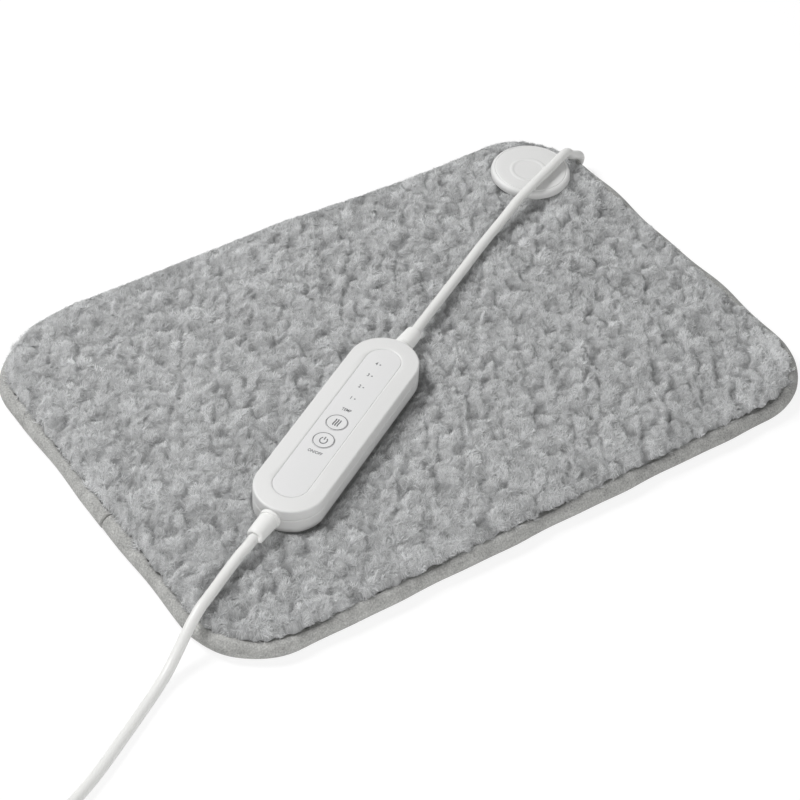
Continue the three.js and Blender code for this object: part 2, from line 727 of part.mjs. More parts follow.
function makeShells(group) {
  const screwTip = CORD_AXIS + FIT / 2 + SCREW_GRIP;
  const screwBores = screwCorners().flatMap(({ x, y }) => screwHoles(0, screwTip, x, y));
  const outerEnd = CONTROLLER_LENGTH / 2 + 1;
  const innerEnd = CONTROLLER_LENGTH / 2 - SHELL_WALL - 1.5;
  const notches = [
    bar(BOOT_NECK + 2 * FIT, innerEnd, outerEnd, 0, CORD_AXIS),
    bar(BOOT_NECK + 2 * FIT, -outerEnd, -innerEnd, 0, CORD_AXIS),
  ];

  const footSteps = [1, 0.67, 0.33, 0].map((share) => {
    const angle = (share * Math.PI) / 2;
    return [SHELL_FOOT * (1 - Math.cos(angle)), SHELL_FOOT * (1 - Math.sin(angle))];
  });
  const tray = stadiumLoft(CONTROLLER_LENGTH, CONTROLLER_WIDTH, [
    ...footSteps,
    [0, CORD_AXIS - FIT / 2],
    [SHELL_WALL, CORD_AXIS - FIT / 2],
    [SHELL_WALL, SHELL_FLOOR + 1],
    [SHELL_WALL + 1, SHELL_FLOOR],
  ]);
  const posts = screwCorners().map(({ x, y }) =>
    rod(BOSS_DIAMETER, SHELL_FLOOR / 2, CORD_AXIS - FIT / 2, x, y),
  );
  const ribs = [-1, 1].map((side) =>
    block(
      BOARD_RIB,
      CONTROLLER_WIDTH - SHELL_WALL,
      SHELL_FLOOR / 2,
      BOARD_HEIGHT - FIT,
      (side * BOARD_RIB_PITCH) / 2,
    ),
  );
  const lower = cut(join(tray, [...posts, ...ribs]), [...screwBores, ...notches]);
  add(group, "lower_shell", lower, "whitePlastic");

  const shoulder = CONTROLLER_HEIGHT - TOP_CROWN - SHELL_EDGE;
  const edgeSteps = [0, 0.25, 0.5, 0.75, 1].map((share) => {
    const angle = (share * Math.PI) / 2;
    return [SHELL_EDGE * (1 - Math.cos(angle)), shoulder + SHELL_EDGE * Math.sin(angle)];
  });
  const fasciaEdge = (CONTROLLER_WIDTH - FASCIA_WIDTH) / 2;
  const inCrown = (SHELL_EDGE + fasciaEdge) / 2;
  const hood = stadiumLoft(CONTROLLER_LENGTH, CONTROLLER_WIDTH, [
    [SHELL_WALL + 0.5, deckUnder],
    [SHELL_WALL, deckUnder - 0.5],
    [SHELL_WALL, CORD_AXIS + FIT / 2],
    [0, CORD_AXIS + FIT / 2],
    ...edgeSteps,
    [inCrown, CONTROLLER_HEIGHT - TOP_CROWN * 0.3],
    [fasciaEdge, CONTROLLER_HEIGHT],
  ]);
  const bosses = screwCorners().map(({ x, y }) =>
    rod(BOSS_DIAMETER, CORD_AXIS + FIT / 2, deckUnder + SHELL_DECK / 2, x, y),
  );
  const recess = stadiumLoft(FASCIA_LENGTH + 2 * FIT, FASCIA_WIDTH + 2 * FIT, [
    [0, fasciaRecess],
    [0, CONTROLLER_HEIGHT + 1],
  ]);
  const upper = cut(join(hood, bosses), [...screwBores, ...notches, recess, ...topHoles()]);
  add(group, "upper_shell", upper, "whitePlastic");

  const plate = stadiumLoft(FASCIA_LENGTH, FASCIA_WIDTH, [
    [0, fasciaRecess + FIT],
    [0, fasciaTop],
  ]);
  add(group, "fascia", cut(plate, topHoles()), "glossPlastic");

  screwCorners().forEach(({ x, y }, i) => {
    add(group, `case_screw_${i + 1}`, screw(SCREW_RECESS, screwTip, x, y), "steel");
  });
}

// The openings through the deck and the fascia for both buttons and the level lights.
function topHoles() {
  const over = CONTROLLER_HEIGHT + 1;
  return [
    ...[POWER_AT, TEMPERATURE_AT].map((x) =>
      rod(BUTTON_DIAMETER + 2 * SLIDE, deckUnder - 1, over, x, 0, ROUND_SIDES),
    ),
    ...levelPlaces().map((x) => rod(LEVEL_DIAMETER + 2 * FIT, deckUnder - 1, over, x, 0, 8)),
  ];
}

function makeButtons(group) {
  const top = fasciaTop + BUTTON_PROUD;
  const flangeUnder = flangeTop - BUTTON_FLANGE.thickness;
  const wellFloor = plungerTop - PLUNGER_HEIGHT - BUTTON_TRAVEL - FIT;
  for (const [name, x] of [
    ["power", POWER_AT],
    ["temperature", TEMPERATURE_AT],
  ]) {
    const cap = turned([
      [0, plungerTop + FIT],
      [STEM_DIAMETER / 2, plungerTop + FIT],
      [STEM_DIAMETER / 2, flangeUnder],
      [BUTTON_FLANGE.diameter / 2, flangeUnder],
      [BUTTON_FLANGE.diameter / 2, flangeTop],
      [BUTTON_DIAMETER / 2, flangeTop],
      [BUTTON_DIAMETER / 2, top - 0.4],
      [BUTTON_DIAMETER / 2 - 0.4, top],
      [BUTTON_DIAMETER / 4, top - BUTTON_DISH * 0.8],
      [0, top - BUTTON_DISH],
    ]);
    add(group, `${name}_button`, cap.translate(x, 0, 0), "glossPlastic");
    const plunger = rod(PLUNGER_DIAMETER, plungerTop - PLUNGER_HEIGHT, plungerTop, x, 0);
    add(group, `${name}_plunger`, plunger, "darkPart");
    const well = rod(PLUNGER_DIAMETER + 2 * SLIDE, wellFloor, switchTop + 1, x, 0);
    const housing = cut(block(SWITCH_SIZE, SWITCH_SIZE, partFoot, switchTop, x), [well]);
    add(group, `${name}_switch`, housing, "darkPart");
  }
}

function makeElectronics(group) {
  const board = block(
    boardTo - boardFrom,
    BOARD_WIDTH,
    BOARD_HEIGHT,
    boardTop,
    (boardFrom + boardTo) / 2,
  );
  add(group, "circuit_board", board, "board");

  const levels = levelPlaces();
  const guideFrom = levels[0] - GUIDE_END;
  const guideTo = levels.at(-1) + GUIDE_END;
  const guideBar = block(
    guideTo - guideFrom,
    GUIDE_WIDTH,
    guideUnder,
    flangeTop,
    (guideFrom + guideTo) / 2,
  );
  const posts = levels.map((x) =>
    rod(LEVEL_DIAMETER, guideUnder + GUIDE_THICKNESS / 2, fasciaTop, x, 0, 8),
  );
  add(group, "light_guide", join(guideBar, posts), "clearPlastic");
  levels.forEach((x, i) => {
    const led = block(LED_SIZE.length, LED_SIZE.width, partFoot, guideUnder - FIT, x);
    add(group, `level_led_${i + 1}`, led, "clearPlastic");
  });

  const fuseAxis = partFoot + FUSE.diameter / 2;
  const fuseFrom = FUSE.fromEnd - controllerEnd - FUSE.length / 2;
  const fuse = bar(FUSE.diameter, fuseFrom, fuseFrom + FUSE.length, FUSE.y, fuseAxis);
  add(group, "fuse", fuse, "clearPlastic");
  for (const [name, size] of [
    ["capacitor", CAPACITOR],
    ["triac", TRIAC],
  ]) {
    const x = size.fromEnd - controllerEnd;
    const body = block(size.length, size.width, partFoot, partFoot + size.height, x, size.y);
    add(group, name, body, "darkPart");
  }
}

// Each cord has a boot in the end wall and two conductors that run to terminals on the board.
function makeCordEntries(group) {
  const collarFrom = CONTROLLER_LENGTH / 2 + FIT;
  const tip = CONTROLLER_LENGTH / 2 + BOOT_LENGTH;
  const sleeveFrom = collarFrom + BOOT_COLLAR.length;
  const profile = [
    [0, bootFlangeFace],
    [BOOT_FLANGE.diameter / 2, bootFlangeFace],
    [BOOT_FLANGE.diameter / 2, bootFlangeFace + BOOT_FLANGE.thickness],
    [BOOT_NECK / 2, bootFlangeFace + BOOT_FLANGE.thickness],
    [BOOT_NECK / 2, collarFrom],
    [BOOT_COLLAR.diameter / 2, collarFrom],
    [BOOT_COLLAR.diameter / 2, sleeveFrom],
    [BOOT_DIAMETER / 2 - 0.5, sleeveFrom],
    [BOOT_DIAMETER / 2 - 0.5, sleeveFrom + 0.8],
    [BOOT_DIAMETER / 2, sleeveFrom + 0.8],
    [BOOT_TIP / 2, tip - 0.8],
    [BOOT_TIP / 2 - 0.8, tip],
    [0, tip],
  ];
  const from = bootFlangeFace - FIT;
  const terminalFace = terminalX + LINE_TERMINAL.length / 2 + FIT;
  for (const [cord, facing] of [
    ["lead", 1],
    ["mains", -1],
  ]) {
    const boot = turned(profile, ROD_SIDES)
      .rotateY((facing * Math.PI) / 2)
      .translate(0, 0, CORD_AXIS);
    add(group, `${cord}_boot`, boot, "cordJacket");
    [1, -1].forEach((side, i) => {
      const terminal = block(
        LINE_TERMINAL.length,
        LINE_TERMINAL.width,
        partFoot,
        partFoot + LINE_TERMINAL.height,
        facing * terminalX,
        side * LINE_TERMINAL.y,
      );
      add(group, `${cord}_terminal_${i + 1}`, terminal, "brass");
      const reach = from - terminalFace;
      const route = [
        [from, CONDUCTOR_SPREAD],
        [from - 0.4 * reach, CONDUCTOR_SPREAD + 0.7],
        [terminalFace + 0.4 * reach, LINE_TERMINAL.y * 0.4],
        [terminalFace + 2, LINE_TERMINAL.y * 0.9],
        [terminalFace, LINE_TERMINAL.y * 0.9],
      ].map(([x, y]) => new THREE.Vector3(facing * x, side * y, CORD_AXIS));
      const line = new THREE.CatmullRomCurve3(route).getSpacedPoints(12);
      const conductor = sweep(line, CONDUCTOR_DIAMETER / 2, 6);
      add(group, `${cord}_conductor_${i + 1}`, conductor, "element");
    });
  }
}

function makeController(parent) {
  const group = new THREE.Group();
  group.position.set(CONTROLLER_PLACE.x, CONTROLLER_PLACE.y, controllerFoot);
  group.rotation.z = CONTROLLER_ANGLE;
  parent.add(group);
  makeShells(group);
  makeButtons(group);
  makeElectronics(group);
  makeCordEntries(group);
}

// A place on the controller's cord axis, in the pad's frame.
function onCordAxis(along) {
  return new THREE.Vector3(
    CONTROLLER_PLACE.x + along * Math.cos(CONTROLLER_ANGLE),
    CONTROLLER_PLACE.y + along * Math.sin(CONTROLLER_ANGLE),
    controllerFoot + CORD_AXIS,
  );
}

// A place on the gland's axis, in the pad's frame.
function onGlandAxis(along) {
  return new THREE.Vector3(
    couplingX + along * Math.cos(GLAND_ANGLE),
    couplingY + along * Math.sin(GLAND_ANGLE),
    GLAND_AXIS,
  );
}

// The coil spirals in on its lower layer and out again on the upper one, and climbs in the
// half turn where the spiral reverses. Both ends run straight for one diameter.
function coilLine() {
  const lowerAxis = TIE_FLOOR + TIE_THICKNESS + TIE_GAP + cordRadius;
  const plugAxis = PLUG_FLOOR + PLUG_THICKNESS / 2;
  const inner = COIL_MIDDLE / 2 - (COIL_PITCH * COIL_TURNS) / 4;
  const steps = Math.round(COIL_TURNS * LOOP_STEPS);
  const points = [];
  for (let k = 0; k <= steps; k++) {
    const turn = (k / steps) * COIL_TURNS;
    const fromMiddle = turn - COIL_TURNS / 2;
    const radius = inner + COIL_PITCH * Math.abs(fromMiddle);
    const angle = COIL_START + turn * 2 * Math.PI;
    const climb = COIL_PITCH * THREE.MathUtils.smoothstep(fromMiddle, -0.25, 0.25);
    points.push(
      new THREE.Vector3(
        COIL_PLACE.x + radius * Math.cos(angle),
        COIL_PLACE.y + radius * Math.sin(angle),
        lowerAxis + climb,
      ),
    );
  }
  const start = points[0];
  const into = new THREE.Vector3(-Math.sin(COIL_START), Math.cos(COIL_START), 0);
  points.unshift(start.clone().addScaledVector(into, -CORD_DIAMETER));
  const end = points.at(-1).clone();
  const straight = TAIL_LENGTH - CORD_DIAMETER;
  for (const share of [0.25, 0.5, 0.75, 1]) {
    const drop = (end.z - plugAxis) * THREE.MathUtils.smoothstep(share, 0, 1);
    points.push(new THREE.Vector3(end.x + share * straight, end.y, end.z - drop));
  }
  points.push(new THREE.Vector3(end.x + TAIL_LENGTH, end.y, plugAxis));
  return points;
}

// The least clear distance between turns that are more than a few diameters apart along the cord.
function leastGap(line) {
  const fine = new THREE.CatmullRomCurve3(line).getSpacedPoints(line.length * 3);
  const spacing = fine[0].distanceTo(fine[1]);
  const apart = Math.ceil((4 * CORD_DIAMETER) / spacing);
  let least = Infinity;
  for (let i = 0; i < fine.length; i++) {
    for (let j = i + apart; j < fine.length; j++) {
      least = Math.min(least, fine[i].distanceTo(fine[j]) - CORD_DIAMETER);
    }
  }
  return least;
}

function roundedShape(width, height, corner) {
  const shape = new THREE.Shape();
  roundedLoop(width, height, corner, 0, SMALL_CORNER_STEPS).forEach(({ x, y }, i) => {
    if (i === 0) shape.moveTo(x, y);
    else shape.lineTo(x, y);
  });
  shape.closePath();
  return shape;
}

// The tie is a flat band round all the turns at one place.
function makeTie(parent) {
  const width = (COIL_PITCH * COIL_TURNS) / 2 + CORD_DIAMETER + 2 * TIE_GAP;
  const height = COIL_PITCH + CORD_DIAMETER + 2 * TIE_GAP;
  const band = roundedShape(width + 2 * TIE_THICKNESS, height + 2 * TIE_THICKNESS, TIE_CORNER);
  band.holes.push(roundedShape(width, height, TIE_CORNER - TIE_THICKNESS));
  const geometry = new THREE.ExtrudeGeometry(band, { depth: TIE_WIDTH, bevelEnabled: false })
    .translate(COIL_MIDDLE / 2, TIE_FLOOR + TIE_THICKNESS + height / 2, -TIE_WIDTH / 2)
    .rotateX(Math.PI / 2)
    .rotateZ(TIE_ANGLE)
    .translate(COIL_PLACE.x, COIL_PLACE.y, 0);
  add(parent, "coil_tie", geometry, "darkPart");
}

// A flat two-pin plug: a ribbed relief, a body that widens and a straight grip.
function makePlug(parent, cordEnd) {
  const section = (width, height, along) =>
    roundedLoop(height, width, Math.min(height, width) * 0.4, along, SMALL_CORNER_STEPS);
  const { length, root, tip, ribs, groove } = PLUG_RELIEF;
  const relief = Array.from({ length: ribs }, (_, i) => {
    const from = (i / ribs) * length;
    const size = tip + ((root - tip) * i) / ribs;
    const rib = length / ribs;
    return [
      section(size, size, from),
      section(size, size, from + 0.6 * rib),
      section(size - groove, size - groove, from + 0.68 * rib),
      section(size - groove, size - groove, from + 0.92 * rib),
    ];
  }).flat();
  const wide = length + PLUG_TAPER;
  const face = wide + PLUG_GRIP;
  const body = loft([
    ...relief,
    section(root, root, length),
    section(root + 3, PLUG_THICKNESS - 1, length + 2),
    section((PLUG_WIDTH + root) / 2, PLUG_THICKNESS, length + PLUG_TAPER * 0.6),
    section(PLUG_WIDTH, PLUG_THICKNESS, wide),
    section(PLUG_WIDTH, PLUG_THICKNESS, face - 1.5),
    section(PLUG_WIDTH - 2, PLUG_THICKNESS - 2, face),
  ]);
  const sides = [-1, 1].map((side) => (side * PIN_SPACING) / 2);
  const seats = sides.map((y) => rod(PIN_DIAMETER + 2 * FIT, face - PIN_SEAT, face + 1, 0, y));
  const pose = (geometry) =>
    geometry.rotateY(Math.PI / 2).translate(cordEnd.x + FIT, cordEnd.y, cordEnd.z);
  add(parent, "plug_body", pose(cut(body, seats)), "whitePlastic");
  const half = PIN_DIAMETER / 2;
  sides.forEach((y, i) => {
    const pin = turned(
      [
        [0, face - PIN_SEAT + FIT],
        [half, face - PIN_SEAT + FIT],
        [half, face + PIN_LENGTH - half],
        [half * 0.7, face + PIN_LENGTH - half * 0.3],
        [0, face + PIN_LENGTH],
      ],
      ROD_SIDES,
    ).translate(0, y, 0);
    add(parent, `plug_pin_${i + 1}`, pose(pin), "steel");
  });
}

function makeCords(parent) {
  const points = (route) => route.map(([x, y, z]) => new THREE.Vector3(x, y, z));
  const bootEnd = CONTROLLER_LENGTH / 2 + BOOT_LENGTH + FIT;
  const leadLine = [
    onCordAxis(bootEnd),
    onCordAxis(bootEnd + CORD_DIAMETER),
    ...points(LEAD_ROUTE),
    onGlandAxis(glandEnd() + FIT),
  ];
  add(parent, "lead_cord", cordTube(leadLine, LEAD_STEPS), "cordJacket");

  const coil = coilLine();
  const coilInto = new THREE.Vector3().subVectors(coil[1], coil[0]).normalize();
  const mainsLine = [
    onCordAxis(-bootEnd),
    onCordAxis(-bootEnd - CORD_DIAMETER),
    ...points(MAINS_ROUTE),
    coil[0].clone().addScaledVector(coilInto, -CORD_DIAMETER),
    coil[0].clone().addScaledVector(coilInto, -FIT),
  ];
  add(parent, "mains_cord", cordTube(mainsLine, MAINS_STEPS), "cordJacket");
  add(parent, "mains_coil", sweep(coil, cordRadius, LOOP_SIDES), "cordJacket");
  console.log(`least gap between the coil's turns: ${leastGap(coil).toFixed(2)} mm`);
  makeTie(parent);
  makePlug(parent, coil.at(-1));
}

const heatingPad = new THREE.Group();
makePad(heatingPad);
makeCoupling(heatingPad);
makeController(heatingPad);
makeCords(heatingPad);

export default heatingPad;
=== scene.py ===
"""Dressed model of a plush heating pad with an in-line controller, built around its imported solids.

Everything is in metres in the part's own frame: the origin is the middle of the pad's underside,
+X runs along the pad's long side, +Y along its short side and +Z up.
"""

import json
import logging
import math
from collections.abc import Sequence
from dataclasses import dataclass, field
from enum import Enum, IntEnum
from typing import Any

import bmesh
import bpy
import numpy as np
from mathutils import Matrix, Vector

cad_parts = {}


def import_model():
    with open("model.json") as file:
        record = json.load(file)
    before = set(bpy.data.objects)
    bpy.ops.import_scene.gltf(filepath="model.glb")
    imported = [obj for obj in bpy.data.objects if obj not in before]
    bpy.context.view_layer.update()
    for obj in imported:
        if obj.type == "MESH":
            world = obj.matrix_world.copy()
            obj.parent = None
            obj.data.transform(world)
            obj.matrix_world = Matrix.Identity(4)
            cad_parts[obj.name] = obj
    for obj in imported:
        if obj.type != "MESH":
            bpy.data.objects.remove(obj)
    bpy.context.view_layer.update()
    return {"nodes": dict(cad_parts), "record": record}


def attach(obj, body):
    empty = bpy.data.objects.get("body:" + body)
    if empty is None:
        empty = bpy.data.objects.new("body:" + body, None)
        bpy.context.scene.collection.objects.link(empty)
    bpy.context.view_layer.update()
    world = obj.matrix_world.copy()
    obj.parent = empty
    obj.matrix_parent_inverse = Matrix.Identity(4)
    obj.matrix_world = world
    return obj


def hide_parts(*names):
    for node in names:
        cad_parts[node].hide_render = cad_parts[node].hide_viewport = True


LOG = logging.getLogger("heating_pad")
MM = 0.001
PILE_MAP = "OFBake"  # the map of the pile's shades
CREASE = "crease"  # the attribute that tells a lump's crown from the crease beside it, for the painted shade in the creases
FIT = 0.3 * MM  # the clearance between pieces that seat on each other

Array = np.ndarray
Mesh = bmesh.types.BMesh
Node = bpy.types.Node
Tree = bpy.types.NodeTree
Ring = list[Vector]
Profile = Sequence[tuple[float, float]]
Route = tuple[tuple[float, float, float], ...]
Fibres = tuple[Array, Array, Array]
Inputs = dict[str | int, Any]


class Body(Enum):
    """The rigid bodies that pieces ride on."""

    PAD = "pad"
    POWER = "power_key"
    TEMPERATURE = "temperature_key"


class CaseEnd(IntEnum):
    """The controller's ends, named for their cords, each with its side along the case."""

    LEAD = 1
    MAINS = -1


def linear(colour: str) -> tuple[float, float, float, float]:
    """Turns an sRGB hex colour into linear light.

    Args:
        colour: Six hex digits after a hash sign.

    Returns:
        Linear red, green, blue and an alpha of one.
    """
    parts = [int(colour[i : i + 2], 16) / 255 for i in (1, 3, 5)]
    light = [c / 12.92 if c <= 0.04045 else ((c + 0.055) / 1.055) ** 2.4 for c in parts]
    return (light[0], light[1], light[2], 1.0)


def set_inputs(node: Node, inputs: Inputs) -> None:
    """Sets or links inputs of a node.

    Args:
        node: The node.
        inputs: For each input a value, a socket, or a node whose first output is meant.
    """
    for key, value in inputs.items():
        source = value.outputs[0] if isinstance(value, Node) else value
        if isinstance(source, bpy.types.NodeSocket):
            node.id_data.links.new(source, node.inputs[key])
        else:
            node.inputs[key].default_value = source


def add_node(tree: Tree, kind: str, inputs: Inputs | None = None, **settings: Any) -> Node:
    """Adds one node with its settings, input values and links.

    Args:
        tree: The node tree that gets the node.
        kind: The node's type name, without the prefix that all have.
        inputs: What its inputs get.
        **settings: Attributes of the node itself.

    Returns:
        The new node.
    """
    node = tree.nodes.new("ShaderNode" + kind)
    for name, value in settings.items():
        setattr(node, name, value)
    set_inputs(node, inputs or {})
    return node


def bare_tree(owner: bpy.types.Material | bpy.types.World) -> Tree:
    """Empties a material's or a world's node tree.

    Args:
        owner: The material or world.

    Returns:
        Its bare node tree.
    """
    owner.use_nodes = True
    owner.node_tree.nodes.clear()
    return owner.node_tree


@dataclass(frozen=True)
class Finish:
    """A surface's name, the record's slot for it and its plain values, the base of all finishes."""

    name: str
    slot: str
    colour: str
    roughness: float
    metallic: float = 0.0
    ior: float = 1.5

    def material(self) -> bpy.types.Material:
        """Makes the material, or returns it if it is already there.

        Returns:
            The material with its shader and pattern.
        """
        found = bpy.data.materials.get(self.name)
        if found:
            return found
        material = bpy.data.materials.new(self.name)
        tree = bare_tree(material)
        plain = {
            "Base Color": linear(self.colour),
            "Roughness": self.roughness,
            "Metallic": self.metallic,
            "IOR": self.ior,
        }
        shader = add_node(tree, "BsdfPrincipled", plain)
        set_inputs(shader, self.pattern(tree))
        add_node(tree, "OutputMaterial", {"Surface": shader})
        return material

    def pattern(self, tree: Tree) -> Inputs:
        """Gives the shader's patterned inputs, none on a plain surface."""
        return {}


@dataclass(frozen=True)
class MouldedPlastic(Finish):
    """Injection-moulded plastic: an even tone with a faint spark-eroded grain.

    The real grain is about a tenth of this, too fine to show, so it is drawn coarser.
    """

    grain: float = 0.7 * MM
    depth: float = 0.02 * MM
    mottle: float = 0.03

    def pattern(self, tree: Tree) -> Inputs:
        """Draws the grain as bump and a slight change of gloss.

        Args:
            tree: The material's node tree.

        Returns:
            The shader's patterned inputs.
        """
        place = add_node(tree, "TexCoord").outputs["Object"]
        fine = {"Vector": place, "Scale": 1 / self.grain, "Detail": 2.0}
        grain = add_node(tree, "TexNoise", fine)
        broad = {"Vector": place, "Scale": 0.1 / self.grain, "Detail": 3.0}
        patches = add_node(tree, "TexNoise", broad)
        low, high = self.roughness - self.mottle, self.roughness + self.mottle
        gloss = {"Value": patches, "To Min": low, "To Max": high}
        rise = {"Height": grain, "Distance": self.depth, "Strength": 0.5}
        return {
            "Normal": add_node(tree, "Bump", rise),
            "Roughness": add_node(tree, "MapRange", gloss),
        }


@dataclass(frozen=True)
class Velour(Finish):
    """Knitted polyester velour: a dense nap less than a millimetre long, brushed in patches.

    The nap gives a matt face with a pale sheen at grazing angles and soft strokes of shade.
    """

    light: str = "#d2d2cf"
    nap: float = 0.9 * MM
    strokes: float = 9 * MM
    depth: float = 0.25 * MM
    # The centre of the painted light, and how fast the colour darkens away from it, per metre.
    pale: tuple[float, float, float] = (0.0, 0.0, 0.0)
    painted_light_falloff: float = 0.0
    stroke_share: float = 0.45
    tone_ends: tuple[float, float] = (0.37, 1.08)

    def pattern(self, tree: Tree) -> Inputs:
        """Draws brushed patches, the nap's speckle and its bump, with painted light that darkens the
        colour away from the pale place.

        Args:
            tree: The material's node tree.

        Returns:
            The shader's patterned inputs.
        """
        place = add_node(tree, "TexCoord").outputs["Object"]
        nap = add_node(tree, "TexNoise", {"Vector": place, "Scale": 1 / self.nap, "Detail": 4.0})
        broad = {"Vector": place, "Scale": 1 / self.strokes, "Detail": 3.0}
        strokes = add_node(tree, "TexNoise", broad)
        mixed = {0: strokes, 1: self.stroke_share, 2: nap}
        speckle = add_node(tree, "Math", mixed, operation="MULTIPLY_ADD")
        away = add_node(tree, "VectorMath", {0: place, 1: self.pale}, operation="DISTANCE")
        falloff_inputs = {0: away.outputs["Value"], 1: -self.painted_light_falloff, 2: speckle}
        # The brushed tone, with painted light that darkens it away from the pale place.
        brushed = add_node(tree, "Math", falloff_inputs, operation="MULTIPLY_ADD")
        low, high = self.tone_ends
        share = add_node(tree, "MapRange", {"Value": brushed, "From Min": low, "From Max": high})
        tones = {0: share, 6: linear(self.colour), 7: linear(self.light)}
        rise = {"Height": nap, "Distance": self.depth, "Strength": 0.8}
        return {
            "Base Color": add_node(tree, "Mix", tones, data_type="RGBA").outputs[2],
            "Normal": add_node(tree, "Bump", rise),
            "Sheen Weight": 0.1,
            "Sheen Roughness": 0.5,
        }


@dataclass(frozen=True)
class PileFibre(Finish):
    """Crimped polyester pile: fine matt fibres, darker at the root and paler at the tip.

    The map's height runs from root to tip and its width holds the shade of each clump, with painted
    shade and light in it.
    """

    root: str = "#b9babb"
    tip: str = "#dadbdb"
    spread: float = 0.4
    root_ends: tuple[float, float] = (0.1, 0.85)
    tip_ends: tuple[float, float] = (0.6, 1.0)
    pale_share: float = 0.75

    def pattern(self, tree: Tree) -> Inputs:
        """Draws the change of colour along a fibre and from clump to clump.

        Args:
            tree: The material's node tree.

        Returns:
            The shader's patterned inputs.
        """
        split = add_node(
            tree, "SeparateXYZ", {"Vector": add_node(tree, "UVMap", uv_map=PILE_MAP)}
        )
        shade, along = split.outputs["X"], split.outputs["Y"]
        low, high = self.root_ends
        middle = {"Value": along, "From Min": low, "From Max": high}
        rise = add_node(tree, "MapRange", middle, interpolation_type="SMOOTHSTEP")
        low, high = self.tip_ends
        end = add_node(tree, "MapRange", {"Value": along, "From Min": low, "From Max": high})
        below = {0: rise, 6: linear(self.root), 7: linear(self.colour)}
        lower = add_node(tree, "Mix", below, data_type="RGBA").outputs[2]
        above = {0: end, 6: lower, 7: linear(self.tip)}
        upper = add_node(tree, "Mix", above, data_type="RGBA").outputs[2]
        dark, pale = 1 - self.spread, 1 + self.pale_share * self.spread
        ends = {"Value": shade, "To Min": dark, "To Max": pale}
        tone = add_node(tree, "MapRange", ends)
        return {
            "Base Color": add_node(tree, "VectorMath", {0: upper, "Scale": tone}, operation="SCALE"),
            "Specular IOR Level": 0.2,
            "Sheen Weight": 0.15,
            "Sheen Roughness": 0.6,
        }


@dataclass(frozen=True)
class DensePile(Finish):
    """The mass of pile under the loose ends: soft and matt, with painted shade that darkens it
    between the lumps.
    """

    painted_crease_shade: str = "#98999a"
    speck: float = 0.7 * MM
    depth: float = 0.6 * MM
    speck_share: float = 0.6
    tone_ends: tuple[float, float] = (0.3, 1.1)

    def pattern(self, tree: Tree) -> Inputs:
        """Paints shade into the creases and draws a fine speckle of fibre ends.

        Args:
            tree: The material's node tree.

        Returns:
            The shader's patterned inputs.
        """
        place = add_node(tree, "TexCoord").outputs["Object"]
        level = add_node(tree, "Attribute", attribute_name=CREASE).outputs["Fac"]
        speck = add_node(tree, "TexNoise", {"Vector": place, "Scale": 1 / self.speck, "Detail": 3.0})
        mixed = {0: speck, 1: self.speck_share, 2: level}
        share = add_node(tree, "Math", mixed, operation="MULTIPLY_ADD")
        low, high = self.tone_ends
        spread = add_node(tree, "MapRange", {"Value": share, "From Min": low, "From Max": high})
        tones = {0: spread, 6: linear(self.painted_crease_shade), 7: linear(self.colour)}
        rise = {"Height": speck, "Distance": self.depth, "Strength": 0.8}
        return {
            "Base Color": add_node(tree, "Mix", tones, data_type="RGBA").outputs[2],
            "Normal": add_node(tree, "Bump", rise),
            "Specular IOR Level": 0.1,
        }


@dataclass(frozen=True)
class CordJacket(Finish):
    """Soft extruded PVC: smooth and slightly glossy, with faint drag marks and waviness."""

    waves: float = 5 * MM
    depth: float = 0.06 * MM
    mottle: float = 0.06
    soak: float = 2 * MM

    def pattern(self, tree: Tree) -> Inputs:
        """Draws the slow unevenness of an extruded jacket, and lets light soak into it.

        Args:
            tree: The material's node tree.

        Returns:
            The shader's patterned inputs.
        """
        place = add_node(tree, "TexCoord").outputs["Object"]
        waves = add_node(tree, "TexNoise", {"Vector": place, "Scale": 1 / self.waves, "Detail": 3.0})
        low, high = self.roughness - self.mottle, self.roughness + self.mottle
        rise = {"Height": waves, "Distance": self.depth, "Strength": 0.5}
        return {
            "Normal": add_node(tree, "Bump", rise),
            "Roughness": add_node(tree, "MapRange", {"Value": waves, "To Min": low, "To Max": high}),
            "Subsurface Weight": 0.4,
            "Subsurface Radius": (1.0, 1.0, 1.0),
            "Subsurface Scale": self.soak,
        }


@dataclass(frozen=True)
class Metal(Finish):
    """Plated or bare metal with fine drawing lines, seen as a slight spread of the highlight."""

    lines: float = 0.4 * MM
    stretch: tuple[float, float, float] = (0.05, 1.0, 1.0)
    smoother: float = 0.1
    rougher: float = 0.12

    def pattern(self, tree: Tree) -> Inputs:
        """Draws the drawing lines as a change of roughness.

        Args:
            tree: The material's node tree.

        Returns:
            The shader's patterned inputs.
        """
        place = add_node(tree, "TexCoord").outputs["Object"]
        drawn = add_node(tree, "Mapping", {"Vector": place, "Scale": self.stretch})
        lines = add_node(tree, "TexNoise", {"Vector": drawn, "Scale": 1 / self.lines, "Detail": 3.0})
        low, high = self.roughness - self.smoother, self.roughness + self.rougher
        gloss = add_node(tree, "MapRange", {"Value": lines, "To Min": low, "To Max": high})
        return {"Roughness": gloss}


# Cut and tumbled fibre: a soft matt grey, a little paler at the tips, with darker clumps and painted
# shade and light from its map.
PILE = PileFibre("crimped polyester pile fibre", "plush", "#cecfcf", 0.9)
# The same pile, packed: an even ground with painted shade in its creases.
DENSE_PILE = DensePile("dense polyester pile", "plush", "#bcbdbd", 1.0)
# Folded tape: a nap stroked light and dark, with painted light that is palest on the -Y side near
# the -X end and fades away from there.
TAPE = Velour(
    "velour binding tape", "velour", "#80807e", 0.95, pale=(-150 * MM, -137 * MM, 5 * MM), painted_light_falloff=0.35
)
# Flat knitted cloth: one dull grey with a fine speckle.
BACKING = Velour("velour backing cloth", "velour", "#868583", 0.95, light="#9f9e9c", nap=1.4 * MM)
